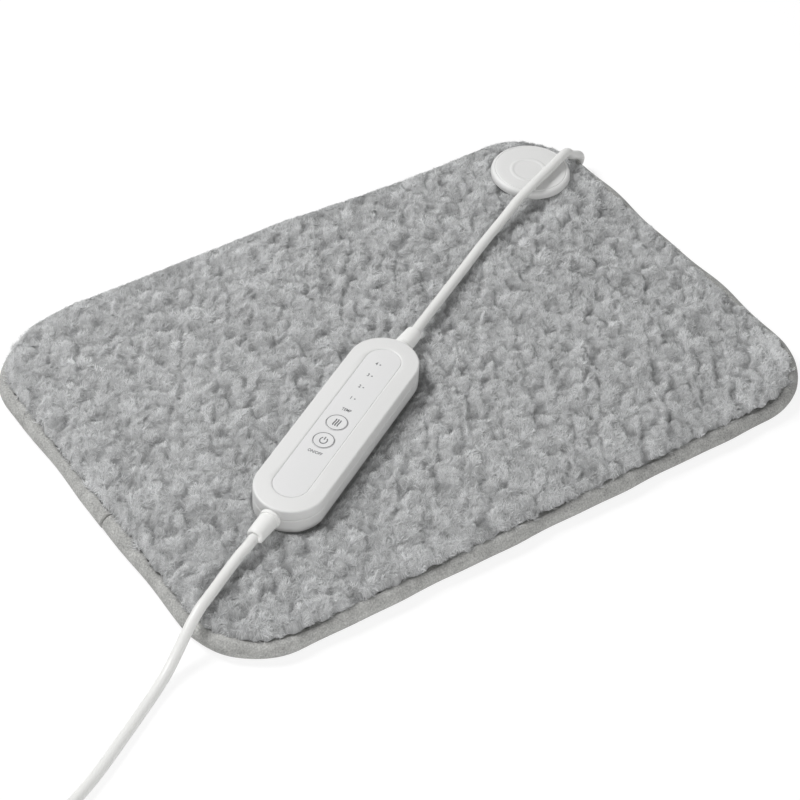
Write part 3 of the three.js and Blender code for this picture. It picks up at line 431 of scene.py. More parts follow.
# Needled fleece: a chalky off-white with a coarse speckle.
FELT = Velour("needled felt", "felt", "#d9d5ca", 1.0, light="#ece9e0", nap=3 * MM)
# Spark-eroded mould: a satin white with broad, soft highlights.
CASE = MouldedPlastic("satin moulded ABS", "white_plastic", "#e2e2e1", 0.48)
# Polished mould: the same white with a clearer highlight.
PANEL = MouldedPlastic(
    "smooth moulded ABS", "gloss_plastic", "#e3e3e3", 0.34, grain=1.2 * MM, depth=0.008 * MM
)
# Pad-printed film: a dull mid grey.
INK = MouldedPlastic("grey pad-printed ink", "dark_part", "#6a6b6d", 0.6)
# Tinted light guide: a smooth grey dot.
WINDOW = MouldedPlastic("grey light window", "clear_plastic", "#8b8d8f", 0.3, grain=1.5 * MM)
# Extruded jacket: a slightly milky white with a long highlight.
JACKET = CordJacket("soft extruded PVC", "cord_jacket", "#e7e7e5", 0.4)
# Moulded jacket: the same, a shade brighter and duller.
BOOT = CordJacket("moulded soft PVC", "cord_jacket", "#efefed", 0.45)
# Woven strap: near black, with a pale fuzz.
STRAP = Velour("hook and loop strap", "dark_part", "#3a3b3d", 0.9, light="#4c4d50", nap=1.2 * MM)
# Plated pin: a bright, drawn grey.
STEEL = Metal("nickel-plated steel", "steel", "#c4c5c7", 0.3, metallic=1.0)
# Bare terminal: a warm yellow with drawn lines.
BRASS = Metal("bare brass", "brass", "#c9a557", 0.32, metallic=1.0)
# Glass laminate: a deep green sheet.
BOARD = MouldedPlastic("green circuit laminate", "board", "#2c6a41", 0.45)
# Moulded component: a plain black with a faint grain.
DARK = MouldedPlastic("black moulded housing", "dark_part", "#28292b", 0.45)
# Soft insulation: a rusty red that light soaks into.
SILICONE = CordJacket("red silicone insulation", "element", "#b9603f", 0.5)

SOLID_FINISHES = (
    DENSE_PILE, BACKING, FELT, CASE, PANEL, WINDOW, BOOT, SILICONE, BOARD, DARK, BRASS, STEEL
)


def smooth_step(low: float, high: float, value: float) -> float:
    """Rises smoothly from nought at low to one at high."""
    share = min(max((value - low) / (high - low), 0.0), 1.0)
    return share * share * (3 - 2 * share)


def offsets(points: Profile, across: float = 0.0, up: float = 0.0) -> list[tuple[float, float]]:
    """Counts profile points, given in millimetres, from a place in metres."""
    return [(across + a * MM, up + b * MM) for a, b in points]


def rounded_ring(
    length: float, width: float, corner: float, height: float, steps: int = 12, sides: int = 1
) -> Ring:
    """Gives the points of a level rounded rectangle, anticlockwise.

    Args:
        length: Its size along X.
        width: Its size along Y.
        corner: Its corner radius.
        height: Its height.
        steps: Points along each corner arc.
        sides: Pieces that each straight side is split into.

    Returns:
        The points in order.
    """
    least = 0.02 * MM  # half the straight side that even a round end keeps
    radius = min(corner, length / 2 - least, width / 2 - least)
    arcs: list[Ring] = []
    for quarter, (sx, sy) in enumerate([(1, 1), (-1, 1), (-1, -1), (1, -1)]):
        x = sx * (length / 2 - radius)
        y = sy * (width / 2 - radius)
        turns = [(quarter + i / steps) * math.pi / 2 for i in range(steps + 1)]
        arcs.append(
            [Vector((x + radius * math.cos(a), y + radius * math.sin(a), height)) for a in turns]
        )
    ring: Ring = []
    for arc, following in zip(arcs, arcs[1:] + arcs[:1], strict=True):
        ring += arc
        ring += [arc[-1].lerp(following[0], k / sides) for k in range(1, sides)]
    return ring


def skin(rings: Sequence[Ring], loop: bool = False) -> Mesh:
    """Bridges rings of equal counts into one closed surface.

    Args:
        rings: The rings in order along the surface.
        loop: Whether the last ring is bridged to the first, instead of filling both.

    Returns:
        A mesh that the caller finishes and frees.
    """
    bm = bmesh.new()
    drawn = []
    for ring in rings:
        verts = [bm.verts.new(p) for p in ring]
        drawn.append([bm.edges.new((a, b)) for a, b in zip(verts, verts[1:] + verts[:1])])
    following = drawn[1:] + drawn[:1] if loop else drawn[1:]
    for here, there in zip(drawn, following):
        bmesh.ops.bridge_loops(bm, edges=here + there)
    if not loop:
        bmesh.ops.edgeloop_fill(bm, edges=drawn[0])
        bmesh.ops.edgeloop_fill(bm, edges=drawn[-1])
    bmesh.ops.recalc_face_normals(bm, faces=bm.faces)
    return bm


def turned(profile: Profile, count: int) -> Mesh:
    """Spins a profile of radius and height about Z.

    Args:
        profile: Points from axis to axis, or round a ring.
        count: Steps in the full turn.

    Returns:
        A closed mesh that the caller finishes and frees.
    """
    bm = bmesh.new()
    verts = [bm.verts.new((radius, 0, height)) for radius, height in profile]
    edges = [bm.edges.new(pair) for pair in zip(verts, verts[1:])]
    full = {"cent": (0, 0, 0), "axis": (0, 0, 1), "angle": 2 * math.pi, "use_merge": True}
    bmesh.ops.spin(bm, geom=verts + edges, steps=count, **full)
    bmesh.ops.remove_doubles(bm, verts=bm.verts, dist=1e-6)
    bmesh.ops.recalc_face_normals(bm, faces=bm.faces)
    return bm


def rounded_profile(profile: Profile, radius: float, steps: int = 4) -> list[tuple[float, float]]:
    """Rounds the inner corners of a profile.

    Args:
        profile: Points of radius and height.
        radius: The largest rounding, less where a corner has no room for it.
        steps: Pieces of each rounding.

    Returns:
        The profile with each corner replaced by a short curve.
    """
    points = [Vector(p) for p in profile]
    out = [points[0]]
    for before, here, after in zip(points, points[1:], points[2:]):
        reach = min(radius, (before - here).length * 0.45, (after - here).length * 0.45)
        a = here + (before - here).normalized() * reach
        b = here + (after - here).normalized() * reach
        for t in (k / steps for k in range(steps + 1)):
            out.append(a * (1 - t) ** 2 + here * 2 * t * (1 - t) + b * t**2)
    out.append(points[-1])
    return [(p.x, p.y) for p in out]


def upright(radius: float, low: float, high: float, x: float = 0, y: float = 0) -> Mesh:
    """Makes an upright round bar, as a cutter.

    Args:
        radius: The bar's radius.
        low: Its lower height.
        high: Its upper height.
        x: Its place along X.
        y: Its place along Y.

    Returns:
        The bar as a closed mesh.
    """
    bm = bmesh.new()
    middle = Matrix.Translation((x, y, (low + high) / 2))
    size = {"radius1": radius, "radius2": radius, "depth": high - low}
    bmesh.ops.create_cone(bm, cap_ends=True, segments=48, matrix=middle, **size)
    return bm


def as_mesh(bm: Mesh, name: str) -> bpy.types.Mesh:
    """Turns a bmesh into mesh data of its own and frees it.

    Args:
        bm: The bmesh.
        name: The mesh's name.

    Returns:
        The mesh.
    """
    mesh = bpy.data.meshes.new(name)
    bm.to_mesh(mesh)
    bm.free()
    return mesh


def link_object(name: str, data: bpy.types.ID) -> bpy.types.Object:
    """Makes an object in the scene.

    Args:
        name: The object's name.
        data: Its mesh, curve, light or camera.

    Returns:
        The object.
    """
    made = bpy.data.objects.new(name, data)
    bpy.context.scene.collection.objects.link(made)
    return made


def carve(bm: Mesh, cutters: Sequence[Mesh]) -> Mesh:
    """Cuts shapes out of a closed mesh.

    Args:
        bm: The mesh to cut, freed here.
        cutters: The shapes to take away, freed here.

    Returns:
        The cut mesh.
    """
    shapes = []
    for k, part in enumerate([bm, *cutters]):
        mesh = as_mesh(part, f"carving_{k}")
        shapes.append(link_object(mesh.name, mesh))
    for cutter in shapes[1:]:
        boolean = shapes[0].modifiers.new("cut", "BOOLEAN")
        boolean.operation = "DIFFERENCE"
        boolean.solver = "EXACT"
        boolean.object = cutter
    graph = bpy.context.evaluated_depsgraph_get()
    result = bmesh.new()
    result.from_mesh(shapes[0].evaluated_get(graph).to_mesh())
    for shape in shapes:
        mesh = shape.data
        bpy.data.objects.remove(shape)
        bpy.data.meshes.remove(mesh)
    return result


def dress(
    data: bpy.types.ID, name: str, finish: Finish, body: Body = Body.PAD, nodes: Sequence[str] = ()
) -> bpy.types.Object:
    """Links a mesh or curve as a piece with its finish, its body and the solids it stands for.

    Args:
        data: The mesh or curve.
        name: The piece's name.
        finish: Its surface.
        body: The body that it moves with.
        nodes: The solids that it stands for.

    Returns:
        The piece.
    """
    data.materials.append(finish.material())
    piece = link_object(name, data)
    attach(piece, body.value)
    if nodes:
        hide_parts(*nodes)
    LOG.info("made %s", name)
    return piece


def finish_piece(
    bm: Mesh,
    name: str,
    finish: Finish,
    place: Matrix | None = None,
    body: Body = Body.PAD,
    node: str = "",
    crease: float = 35,
) -> bpy.types.Object:
    """Turns a bmesh into a smooth, dressed piece that rides on a body.

    Args:
        bm: The mesh in its own frame, freed here.
        name: The piece's name.
        finish: Its surface.
        place: Its place in the part's frame.
        body: The body that it moves with.
        node: The solid that it stands for, if any.
        crease: Angle in degrees above which an edge stays sharp.

    Returns:
        The piece.
    """
    if place is not None:
        bmesh.ops.transform(bm, matrix=place, verts=bm.verts)
    for face in bm.faces:
        face.smooth = True
    for edge in bm.edges:
        if len(edge.link_faces) == 2 and edge.calc_face_angle(0) > math.radians(crease):
            edge.smooth = False
    return dress(as_mesh(bm, name), name, finish, body, [node] if node else [])


def smooth_route(points: Sequence[Vector], spacing: float) -> list[Vector]:
    """Runs a smooth curve without kinks or loops through the points of a cord's route.

    Args:
        points: The route's points.
        spacing: The largest step along the curve.

    Returns:
        Points along the curve, ends included.
    """
    guides = [points[0] * 2 - points[1], *points, points[-1] * 2 - points[-2]]
    line = [points[0].copy()]
    for span in zip(guides, guides[1:], guides[2:], guides[3:]):
        knots = [0.0]
        for p, q in zip(span, span[1:]):
            knots.append(knots[-1] + max((q - p).length, 1e-9) ** 0.5)
        count = max(1, math.ceil((span[2] - span[1]).length / spacing))
        for k in range(1, count + 1):
            t = knots[1] + (knots[2] - knots[1]) * k / count
            line.append(route_point(span, knots, t))
    return line


def route_point(guides: Sequence[Vector], knots: Sequence[float], t: float) -> Vector:
    """Gives one point of a span of a cord's route by repeated interpolation.

    Args:
        guides: The span's four guide points.
        knots: Their parameters.
        t: The parameter of the point.

    Returns:
        The point.
    """
    level = list(guides)
    for spans in ([(0, 1), (1, 2), (2, 3)], [(0, 2), (1, 3)], [(1, 2)]):
        level = [
            here.lerp(there, (t - knots[i]) / (knots[j] - knots[i]))
            for here, there, (i, j) in zip(level, level[1:], spans)
        ]
    return level[0]


@dataclass
class Studio:
    """A pale floor, soft lights and the camera at the photograph's angle."""

    focal_pixels: float = 2361
    picture_pixels: float = 800
    sensor: float = 36
    distance: float = 1.323
    azimuth: float = -37.16
    elevation: float = 44.0
    roll: float = 3.74
    aim: tuple[float, float] = (-10.03 * MM, -12.29 * MM)
    floor_colour: str = "#f4f4f4"
    floor_drop: float = 0.05 * MM
    floor_glow: float = 1.1
    floor_share: float = 0.75
    surround: float = 0.23

    def build(self) -> None:
        """Sets up the camera, the lights, the floor and the view."""
        bpy.context.scene.view_settings.view_transform = "Standard"
        self.camera()
        self.lamp("key", spot=Vector((-0.6, 0.86, 1.34)), size=0.6, power=22.5)
        self.lamp("fill", spot=Vector((-0.35, -1.44, 0.6)), size=1.2, power=10.0)
        self.floor()
        self.world()

    def camera(self) -> None:
        """Places the camera and makes it the scene's own."""
        turn, tilt, roll = (math.radians(a) for a in (self.azimuth, self.elevation, self.roll))
        flat = math.cos(tilt)
        back = Vector((math.sin(turn) * flat, -math.cos(turn) * flat, math.sin(tilt)))
        level = Vector((0, 0, 1)).cross(back).normalized()
        rise = back.cross(level)
        right = level * math.cos(roll) + rise * math.sin(roll)
        up = rise * math.cos(roll) - level * math.sin(roll)
        data = bpy.data.cameras.new("studio camera")
        data.sensor_width = self.sensor
        data.lens = self.focal_pixels / self.picture_pixels * self.sensor
        data.clip_start = 0.05
        data.clip_end = 50
        camera = link_object("studio camera", data)
        spot = Vector((*self.aim, 0)) + back * self.distance
        facing = Matrix((right, up, back)).transposed().to_4x4()
        camera.matrix_world = Matrix.Translation(spot) @ facing
        bpy.context.scene.camera = camera

    def lamp(self, name: str, spot: Vector, size: float, power: float) -> None:
        """Adds one square area light aimed at the pad.

        Args:
            name: The light's name.
            spot: Its place.
            size: Its side.
            power: Its power in watts.
        """
        data = bpy.data.lights.new(name, "AREA")
        data.size = size
        data.energy = power
        light = link_object(name, data)
        light.location = spot
        light.rotation_euler = (-spot).to_track_quat("-Z", "Y").to_euler()

    def floor(self) -> None:
        """Lays a plain pale floor that keeps the object's shadow."""
        bm = bmesh.new()
        bmesh.ops.create_grid(bm, x_segments=1, y_segments=1, size=30)
        bmesh.ops.translate(bm, vec=(0, 0, -self.floor_drop), verts=bm.verts)
        floor = link_object("studio_floor", as_mesh(bm, "studio floor"))
        material = bpy.data.materials.new("pale studio floor")
        tree = bare_tree(material)
        matt = add_node(tree, "BsdfDiffuse", {"Color": linear(self.floor_colour)})
        glow = {"Color": (1, 1, 1, 1), "Strength": self.floor_glow}
        white = add_node(tree, "Emission", glow)
        seen = add_node(tree, "LightPath").outputs["Is Camera Ray"]
        plain = add_node(tree, "Math", {0: seen, 1: self.floor_share}, operation="MULTIPLY")
        mix = add_node(tree, "MixShader", {0: plain, 1: matt, 2: white})
        add_node(tree, "OutputMaterial", {"Surface": mix})
        floor.data.materials.append(material)

    def world(self) -> None:
        """Gives an even pale surround that is white to the camera and in reflections."""
        world = bpy.data.worlds.new("studio surround")
        tree = bare_tree(world)
        soft, white = (
            add_node(tree, "Background", {"Color": (1, 1, 1, 1), "Strength": strength})
            for strength in (self.surround, 1.0)
        )
        seen = add_node(tree, "LightPath").outputs
        rays = {0: seen["Is Camera Ray"], 1: seen["Is Glossy Ray"]}
        shown = add_node(tree, "Math", rays, operation="MAXIMUM")
        mix = add_node(tree, "MixShader", {0: shown, 1: soft, 2: white})
        add_node(tree, "OutputWorld", {"Surface": mix})
        bpy.context.scene.world = world


@dataclass
class Coupling:
    """The round terminal box near the pad's corner, where the lead enters it."""

    x: float = 159 * MM
    y: float = 94 * MM
    radius: float = 24.25 * MM
    under: float = 17.8 * MM
    top: float = 24.0 * MM
    ring_height: float = 0.5 * MM
    ring_radius: float = 10.5 * MM
    ring_shift: tuple[float, float] = (-2.4 * MM, -0.8 * MM)
    shift_ends: tuple[float, float] = (13 * MM, 19 * MM)

    def build(self) -> None:
        """Makes the cap with its rounded rim, rim groove and plain raised ring."""
        face = self.top - self.ring_height
        foot = offsets([(-4, 2), (-2.2, 0), (-0.6, 0), (0, 0.8)], self.radius, self.under)
        rim = [(0, -2.6), (-0.7, -1.2), (-2.1, -0.5)]
        groove = [(-2.3, -0.75), (-2.7, -0.75), (-2.9, -0.3), (-6, -0.05)]
        ring = [(1, 0), (0.2, 0.35), (-0.8, 0.35), (-1.8, 0)]
        profile = [
            (0, foot[0][1]),
            *foot,
            *offsets(rim + groove, self.radius, face),
            *offsets(ring, self.ring_radius, face),
            (0, face - 0.05 * MM),
        ]
        cap = turned(rounded_profile(profile, 0.8 * MM), 96)
        for vert in cap.verts:
            if vert.co.z > face - 0.2 * MM:
                held = 1 - smooth_step(*self.shift_ends, math.hypot(vert.co.x, vert.co.y))
                vert.co.x += self.ring_shift[0] * held
                vert.co.y += self.ring_shift[1] * held
        place = Matrix.Translation((self.x, self.y, 0))
        finish_piece(cap, "coupling_disc", CASE, place, node="coupling_cap")


@dataclass
class Controller:
    """The in-line controller: a long round-ended case with a fascia, two keys and level lights."""

    x: float = -66.5 * MM
    y: float = -33.5 * MM
    angle: float = math.radians(29)
    foot: float = 14.0 * MM
    length: float = 147 * MM
    width: float = 40 * MM
    height: float = 17.2 * MM
    wall: float = 2 * MM
    floor: float = 1.8 * MM
    deck: float = 13.9 * MM
    parting: float = 9.7 * MM
    parting_gap: float = 0.1 * MM
    mouth_radius: float = 3.3 * MM
    edge: float = 1.1 * MM
    crown: float = 0.6 * MM
    panel_length: float = 125.5 * MM
    panel_width: float = 19.5 * MM
    panel_foot: float = 15.9 * MM
    panel_top: float = 16.9 * MM
    power_at: float = -17.1 * MM
    temperature_at: float = -1.8 * MM
    level_at: tuple[float, ...] = tuple((19.1 + 10.25 * k) * MM for k in range(4))
    button_radius: float = 6 * MM
    button_rise: float = 0.3 * MM
    button_dish: float = 0.25 * MM
    plunger_top: float = 11.3 * MM
    post_radius: float = 0.5 * MM
    guide_height: float = 2 * MM
    boot_length: float = 16.5 * MM
    boot_bend: float = 1.5 * MM
    boot_lip: float = 2.0 * MM
    print_height: float = 0.04 * MM
    word_size: float = 2 * MM
    digit_size: float = 2.3 * MM

    @property
    def place(self) -> Matrix:
        """Where the controller lies in the part's frame."""
        spot = Matrix.Translation((self.x, self.y, self.foot))
        return spot @ Matrix.Rotation(self.angle, 4, "Z")

    @property
    def button_top(self) -> float:
        """The height of a key's rim."""
        return self.panel_top + self.button_rise

    @staticmethod
    def rings(length: float, width: float, profile: Profile) -> list[Ring]:
        """Gives the rings of a round-ended form.

        Args:
            length: Its size along X.
            width: Its size along Y.
            profile: Inset and height of each ring.

        Returns:
            The rings in order.
        """
        sizes = [(length - 2 * inset, width - 2 * inset, z) for inset, z in profile]
        return [rounded_ring(long, broad, broad / 2, z, 24, 6) for long, broad, z in sizes]

    def build(self) -> None:
        """Makes the case, the fascia, the keys, the prints, the lights and the boots."""
        self.lower_case()
        self.upper_case()
        self.fascia()
        self.key(Body.POWER, self.power_at, "power_button")
        self.key(Body.TEMPERATURE, self.temperature_at, "temperature_button")
        self.power_symbol()
        self.heat_symbol()
        self.words()
        self.light_windows()
        self.boot(CaseEnd.LEAD, "lead_boot")
        self.boot(CaseEnd.MAINS, "mains_boot")

    def lower_case(self) -> None:
        """Makes the tray-shaped lower half with a rounded foot and a shadow gap at the parting."""
        rim = self.parting - self.parting_gap
        profile = [
            *offsets([(6, 0), (1.6, 0.1), (0.5, 0.7), (0.05, 2), (0, 4)]),
            *offsets([(0, -0.3), (0.25, 0)], up=rim),
            (self.wall, rim),
            *offsets([(0, 1), (1, 0)], self.wall, self.floor),
        ]
        bm = carve(skin(self.rings(self.length, self.width, profile)), self.cord_mouths())
        finish_piece(bm, "case_lower", CASE, self.place, node="lower_shell")

    def cord_mouths(self) -> list[Mesh]:
        """Gives the round holes in both end walls, as cutters.

        Returns:
            The cutters.
        """
        mouths = []
        for facing in CaseEnd:
            bm = upright(self.mouth_radius, -4 * MM, 4 * MM)
            spot = Matrix.Translation((facing * self.length / 2, 0, self.parting))
            turn = Matrix.Rotation(math.pi / 2, 4, "Y")
            bmesh.ops.transform(bm, matrix=spot @ turn, verts=bm.verts)
            mouths.append(bm)
        return mouths

    def upper_case(self) -> None:
        """Makes the hood with its crowned top, fascia recess, key holes and light holes."""
        rim = self.parting + self.parting_gap
        shoulder = self.height - self.crown - self.edge
        turns = [k / 6 * math.pi / 2 for k in range(7)]
        profile = [
            *offsets([(0.5, 0), (0, -0.5)], self.wall, self.deck),
            (self.wall, rim),
            *offsets([(0.25, 0), (0, 0.3)], up=rim),
            *((self.edge * (1 - math.cos(a)), shoulder + self.edge * math.sin(a)) for a in turns),
            *offsets([(4, -0.36), (6.5, -0.13)], up=self.height),
            ((self.width - self.panel_width) / 2 - 1.2 * MM, self.height),
        ]
        brim = [(-1.2, -0.01), (-0.9, -0.06), (-0.55, -0.2), (-0.3, -0.45)]
        recess = [
            *offsets(brim, up=self.height),
            *offsets([(-0.25, 0), (3, 0)], up=self.panel_foot - FIT),
        ]
        rings = self.rings(self.length, self.width, profile)
        rings += self.rings(self.panel_length, self.panel_width, recess)
        cuts = self.cord_mouths() + self.top_holes(0.25 * MM, 0.3 * MM)
        finish_piece(carve(skin(rings), cuts), "case_upper", CASE, self.place, node="upper_shell")

    def top_holes(self, round_keys: float, round_lights: float) -> list[Mesh]:
        """Gives the cutters for the keys and the lights.

        Args:
            round_keys: The gap round each key.
            round_lights: The gap round each light post.

        Returns:
            One upright cutter for each hole.
        """
        ends = (self.deck - 2 * MM, self.height + 2 * MM)
        reach = self.button_radius + round_keys
        holes = [upright(reach, *ends, x) for x in (self.power_at, self.temperature_at)]
        return holes + [upright(self.post_radius + round_lights, *ends, x) for x in self.level_at]

    def fascia(self) -> None:
        """Makes the smooth panel that lies in the recess with a softened edge."""
        profile = offsets([(0.2, 0), (-0.2, 0.2)], up=self.panel_foot)
        profile += offsets([(-0.2, -0.12), (-0.12, -0.03), (0.1, 0)], up=self.panel_top)
        bm = skin(self.rings(self.panel_length, self.panel_width, profile))
        bm = carve(bm, self.top_holes(0.2 * MM, 0.05 * MM))
        finish_piece(bm, "case_fascia", PANEL, self.place, node="fascia")

    def key(self, body: Body, along: float, node: str) -> None:
        """Makes one push key with a dished top, a skirt flange, a stem and a printed ring.

        Args:
            body: The key's body.
            along: Its place along the controller.
            node: The solid that it stands for.
        """
        top = self.button_top
        flange = self.deck - FIT
        radius = self.button_radius
        profile = [
            *offsets([(0, 0), (2, 0)], up=self.plunger_top + FIT),
            *offsets([(2, -1.6), (7.2, -1.6), (7.2, 0)], up=flange),
            (radius, flange),
            *offsets([(0, -0.35), (-0.1, -0.12), (-0.4, 0), (-1.4, -0.06)], radius, top),
            (radius * 0.5, top - 0.19 * MM),
            (0, top - self.button_dish),
        ]
        place = self.place @ Matrix.Translation((along, 0, 0))
        finish_piece(turned(profile, 96), f"key_{node}", PANEL, place, body, node)
        band = [(-0.54, -0.02), (-0.2, -0.02), (-0.2, 0.035), (-0.54, 0.035), (-0.54, -0.02)]
        ring = turned(offsets(band, radius, top), 96)
        finish_piece(ring, f"print_ring_{node}", INK, place, body)

    def symbol_height(self, radius: float) -> float:
        """Gives the height of a key's dished top at one radius."""
        reach = self.button_radius * 0.9
        return self.button_top - self.button_dish * (1 - min(radius / reach, 1.0) ** 2)

    def power_symbol(self) -> None:
        """Prints an open ring with a bar in its gap on the power key."""
        z = self.symbol_height(1.5 * MM)
        gap = math.radians(36)
        bm = bmesh.new()
        verts = [bm.verts.new((0, r, z)) for r in (1.7 * MM, 2.3 * MM)]
        edge = bm.edges.new(verts)
        bmesh.ops.transform(bm, matrix=Matrix.Rotation(-gap, 4, "Z"), verts=bm.verts)
        arc = {"cent": (0, 0, 0), "axis": (0, 0, 1), "angle": -(2 * math.pi - 2 * gap)}
        bmesh.ops.spin(bm, geom=[*verts, edge], steps=40, **arc)
        half = Matrix.Diagonal((0.3 * MM, 1.25 * MM, 1, 1))
        bar = Matrix.Translation((0, 1.75 * MM, z)) @ half
        bmesh.ops.create_grid(bm, x_segments=1, y_segments=4, size=1, matrix=bar)
        bmesh.ops.scale(bm, vec=(1, 1.18, 1), verts=bm.verts)
        self.print_piece(bm, "print_power_symbol", self.power_at, body=Body.POWER)

    def heat_symbol(self) -> None:
        """Prints three upright strokes with a slight wave on the temperature key."""
        z = self.symbol_height(1.5 * MM)
        half, rise, sway, apart = 0.38 * MM, 2.75 * MM, 0.16 * MM, 1.35 * MM
        bm = bmesh.new()
        for k in (-1, 0, 1):
            grid = bmesh.ops.create_grid(bm, x_segments=1, y_segments=16, size=1)
            for vert in grid["verts"]:
                share = vert.co.y
                across = vert.co.x * half + sway * math.sin(share * math.pi) + k * apart
                vert.co = Vector((across, share * rise, z))
        self.print_piece(bm, "print_heat_symbol", self.temperature_at, body=Body.TEMPERATURE)

    def print_piece(
        self, bm: Mesh, name: str, along: float, across: float = 0.0, body: Body = Body.PAD
    ) -> None:
        """Lays a flat print on the controller with its top towards the lead.

        Args:
            bm: The print in its own plane, with +Y as its top.
            name: The print's name.
            along: Its place along the controller.
            across: Its place across the controller.
            body: The body that it moves with.
        """
        geom = bmesh.ops.extrude_face_region(bm, geom=bm.faces[:])["geom"]
        raised = [g for g in geom if isinstance(g, bmesh.types.BMVert)]
        bmesh.ops.translate(bm, vec=(0, 0, self.print_height), verts=raised)
        bmesh.ops.recalc_face_normals(bm, faces=bm.faces)
        spot = Matrix.Translation((along, across, 0)) @ Matrix.Rotation(-math.pi / 2, 4, "Z")
        finish_piece(bm, name, INK, self.place @ spot, body, crease=30)

    def words(self) -> None:
        """Prints the key words and the level numbers on the fascia."""
        self.word("ON/OFF", "print_on_off", self.power_at - 9.9 * MM, 0.0, self.word_size)
        self.word("TEMP", "print_temp", self.temperature_at + 11.1 * MM, 0.0, self.word_size)
        for k, along in enumerate(self.level_at, 1):
            self.word(str(k), f"print_level_{k}", along, 2.2 * MM, self.digit_size)

    def word(self, text: str, name: str, along: float, across: float, size: float) -> None:
        """Prints one word, centred on its place.

        Args:
            text: The generic word or number.
            name: The print's name.
            along: Its place along the controller.
            across: Its place across the controller.
            size: The height of its capitals.
        """
        capitals = 0.69  # the height of the typeface's capitals as a share of its size
        curve = bpy.data.curves.new(name, "FONT")
        curve.body = text
        curve.align_x = "CENTER"
        curve.align_y = "CENTER"
        curve.size = size / capitals
        curve.offset = 0.03 * size
        curve.resolution_u = 3
        draft = bpy.data.objects.new(name, curve)
        mesh = bpy.data.meshes.new_from_object(draft)
        bpy.data.objects.remove(draft)
        bpy.data.curves.remove(curve)
        bm = bmesh.new()
        bm.from_mesh(mesh)
        bpy.data.meshes.remove(mesh)
        bmesh.ops.remove_doubles(bm, verts=bm.verts, dist=1e-7)
        bmesh.ops.scale(bm, vec=(0.8, 1, 1), verts=bm.verts)
        bmesh.ops.translate(bm, vec=(0, 0, self.panel_top - 0.01 * MM), verts=bm.verts)
        self.print_piece(bm, name, along, across)

    def light_windows(self) -> None:
        """Makes the light guide: a bar under the deck with a small domed post at each level."""
        under = self.deck - FIT - self.guide_height
        first, last = self.level_at[0] - 2.6 * MM, self.level_at[-1] + 2.6 * MM
        ends = (under, under + self.guide_height)
        bm = skin([rounded_ring(last - first, 4 * MM, 0.6 * MM, z, 4) for z in ends])
        bmesh.ops.translate(bm, vec=((first + last) / 2, 0, 0), verts=bm.verts)
        profile = offsets([(0, 1), (0.5, 1)], up=under)
        profile += offsets([(0.5, -0.02), (0.3, 0.04), (0, 0.06)], up=self.panel_top)
        for along in self.level_at:
            post = turned(profile, 16)
            bmesh.ops.translate(post, vec=(along, 0, 0), verts=post.verts)
            mesh = as_mesh(post, "light post")
            bm.from_mesh(mesh)
            bpy.data.meshes.remove(mesh)
        finish_piece(bm, "light_windows", WINDOW, self.place, node="light_guide")

    def boot(self, facing: CaseEnd, node: str) -> None:
        """Makes one soft strain relief with a collar, a waist and a rounded tip.

        Args:
            facing: The end of the case that it is on.
            node: The solid that it stands for.
        """
        end = self.length / 2
        held = [(0, -4.6), (3.9, -4.6), (3.9, -3.1), (3.0, -3.1), (3.0, 0.25)]
        collar = [(5.9, 0.25), (5.9, 2.3), (4.95, 2.5), (4.95, 3.0), (5.4, 3.2)]
        taper = [(5.15, 9), (4.8, 15.4), (3.9, 16.5), (2.95, 16.5), (0, 16.4)]
        profile = offsets(held + collar + taper, up=end)
        bm = turned(rounded_profile(profile, 0.5 * MM), 64)
        turn = Matrix.Rotation(facing * math.pi / 2, 4, "Y")
        bmesh.ops.transform(bm, matrix=turn, verts=bm.verts)
        for vert in bm.verts:
            out = facing * vert.co.x - end
            lean = 0.5 * smooth_step(-2 * MM, 0, out) + 0.5 * smooth_step(0, self.boot_length, out)
            if facing is CaseEnd.MAINS and out > 15 * MM:
                side = -vert.co.y / max(math.hypot(vert.co.y, vert.co.z), 1e-6)
                vert.co.x -= self.boot_lip * max(side, 0) ** 8
            vert.co.y -= facing * self.boot_bend * lean
        place = self.place @ Matrix.Translation((0, 0, self.parting))
        finish_piece(bm, f"cord_{node}", BOOT, place, node=node)

    def cord_end(self, facing: CaseEnd, beyond: float) -> Vector:
        """Gives a point on the cord's axis, at a distance past the tip of one boot."""
        along = facing * (self.length / 2 + self.boot_length + beyond)
        return self.place @ Vector((along, -facing * self.boot_bend, self.parting))

    def local(self, x: Array, y: Array) -> tuple[Array, Array]:
        """Gives how far places lie along and across the case from its middle.

        Args:
            x: Places along X.
            y: Places along Y.

        Returns:
            The distances along it and across it.
        """
        cosine, sine = math.cos(self.angle), math.sin(self.angle)
        along = (x - self.x) * cosine + (y - self.y) * sine
        return along, -(x - self.x) * sine + (y - self.y) * cosine

    def holds(self, x: Array, y: Array) -> Array:
        """Gives how far places lie outside the case's plan, negative inside it.

        Args:
            x: Places along X.
            y: Places along Y.

        Returns:
            The distances.
        """
        along, across = self.local(x, y)
        past = np.maximum(np.abs(along) - (self.length - self.width) / 2, 0)
        return np.hypot(past, across) - self.width / 2

    def lee(self, x: Array, y: Array) -> Array:
        """Gives how far places lie to the case's side away from the key light, pressed lower and
        painted with shadow, nought to one.
        """
        return np.clip(0.1 - self.local(x, y)[1] / self.width, 0, 0.5) * 2


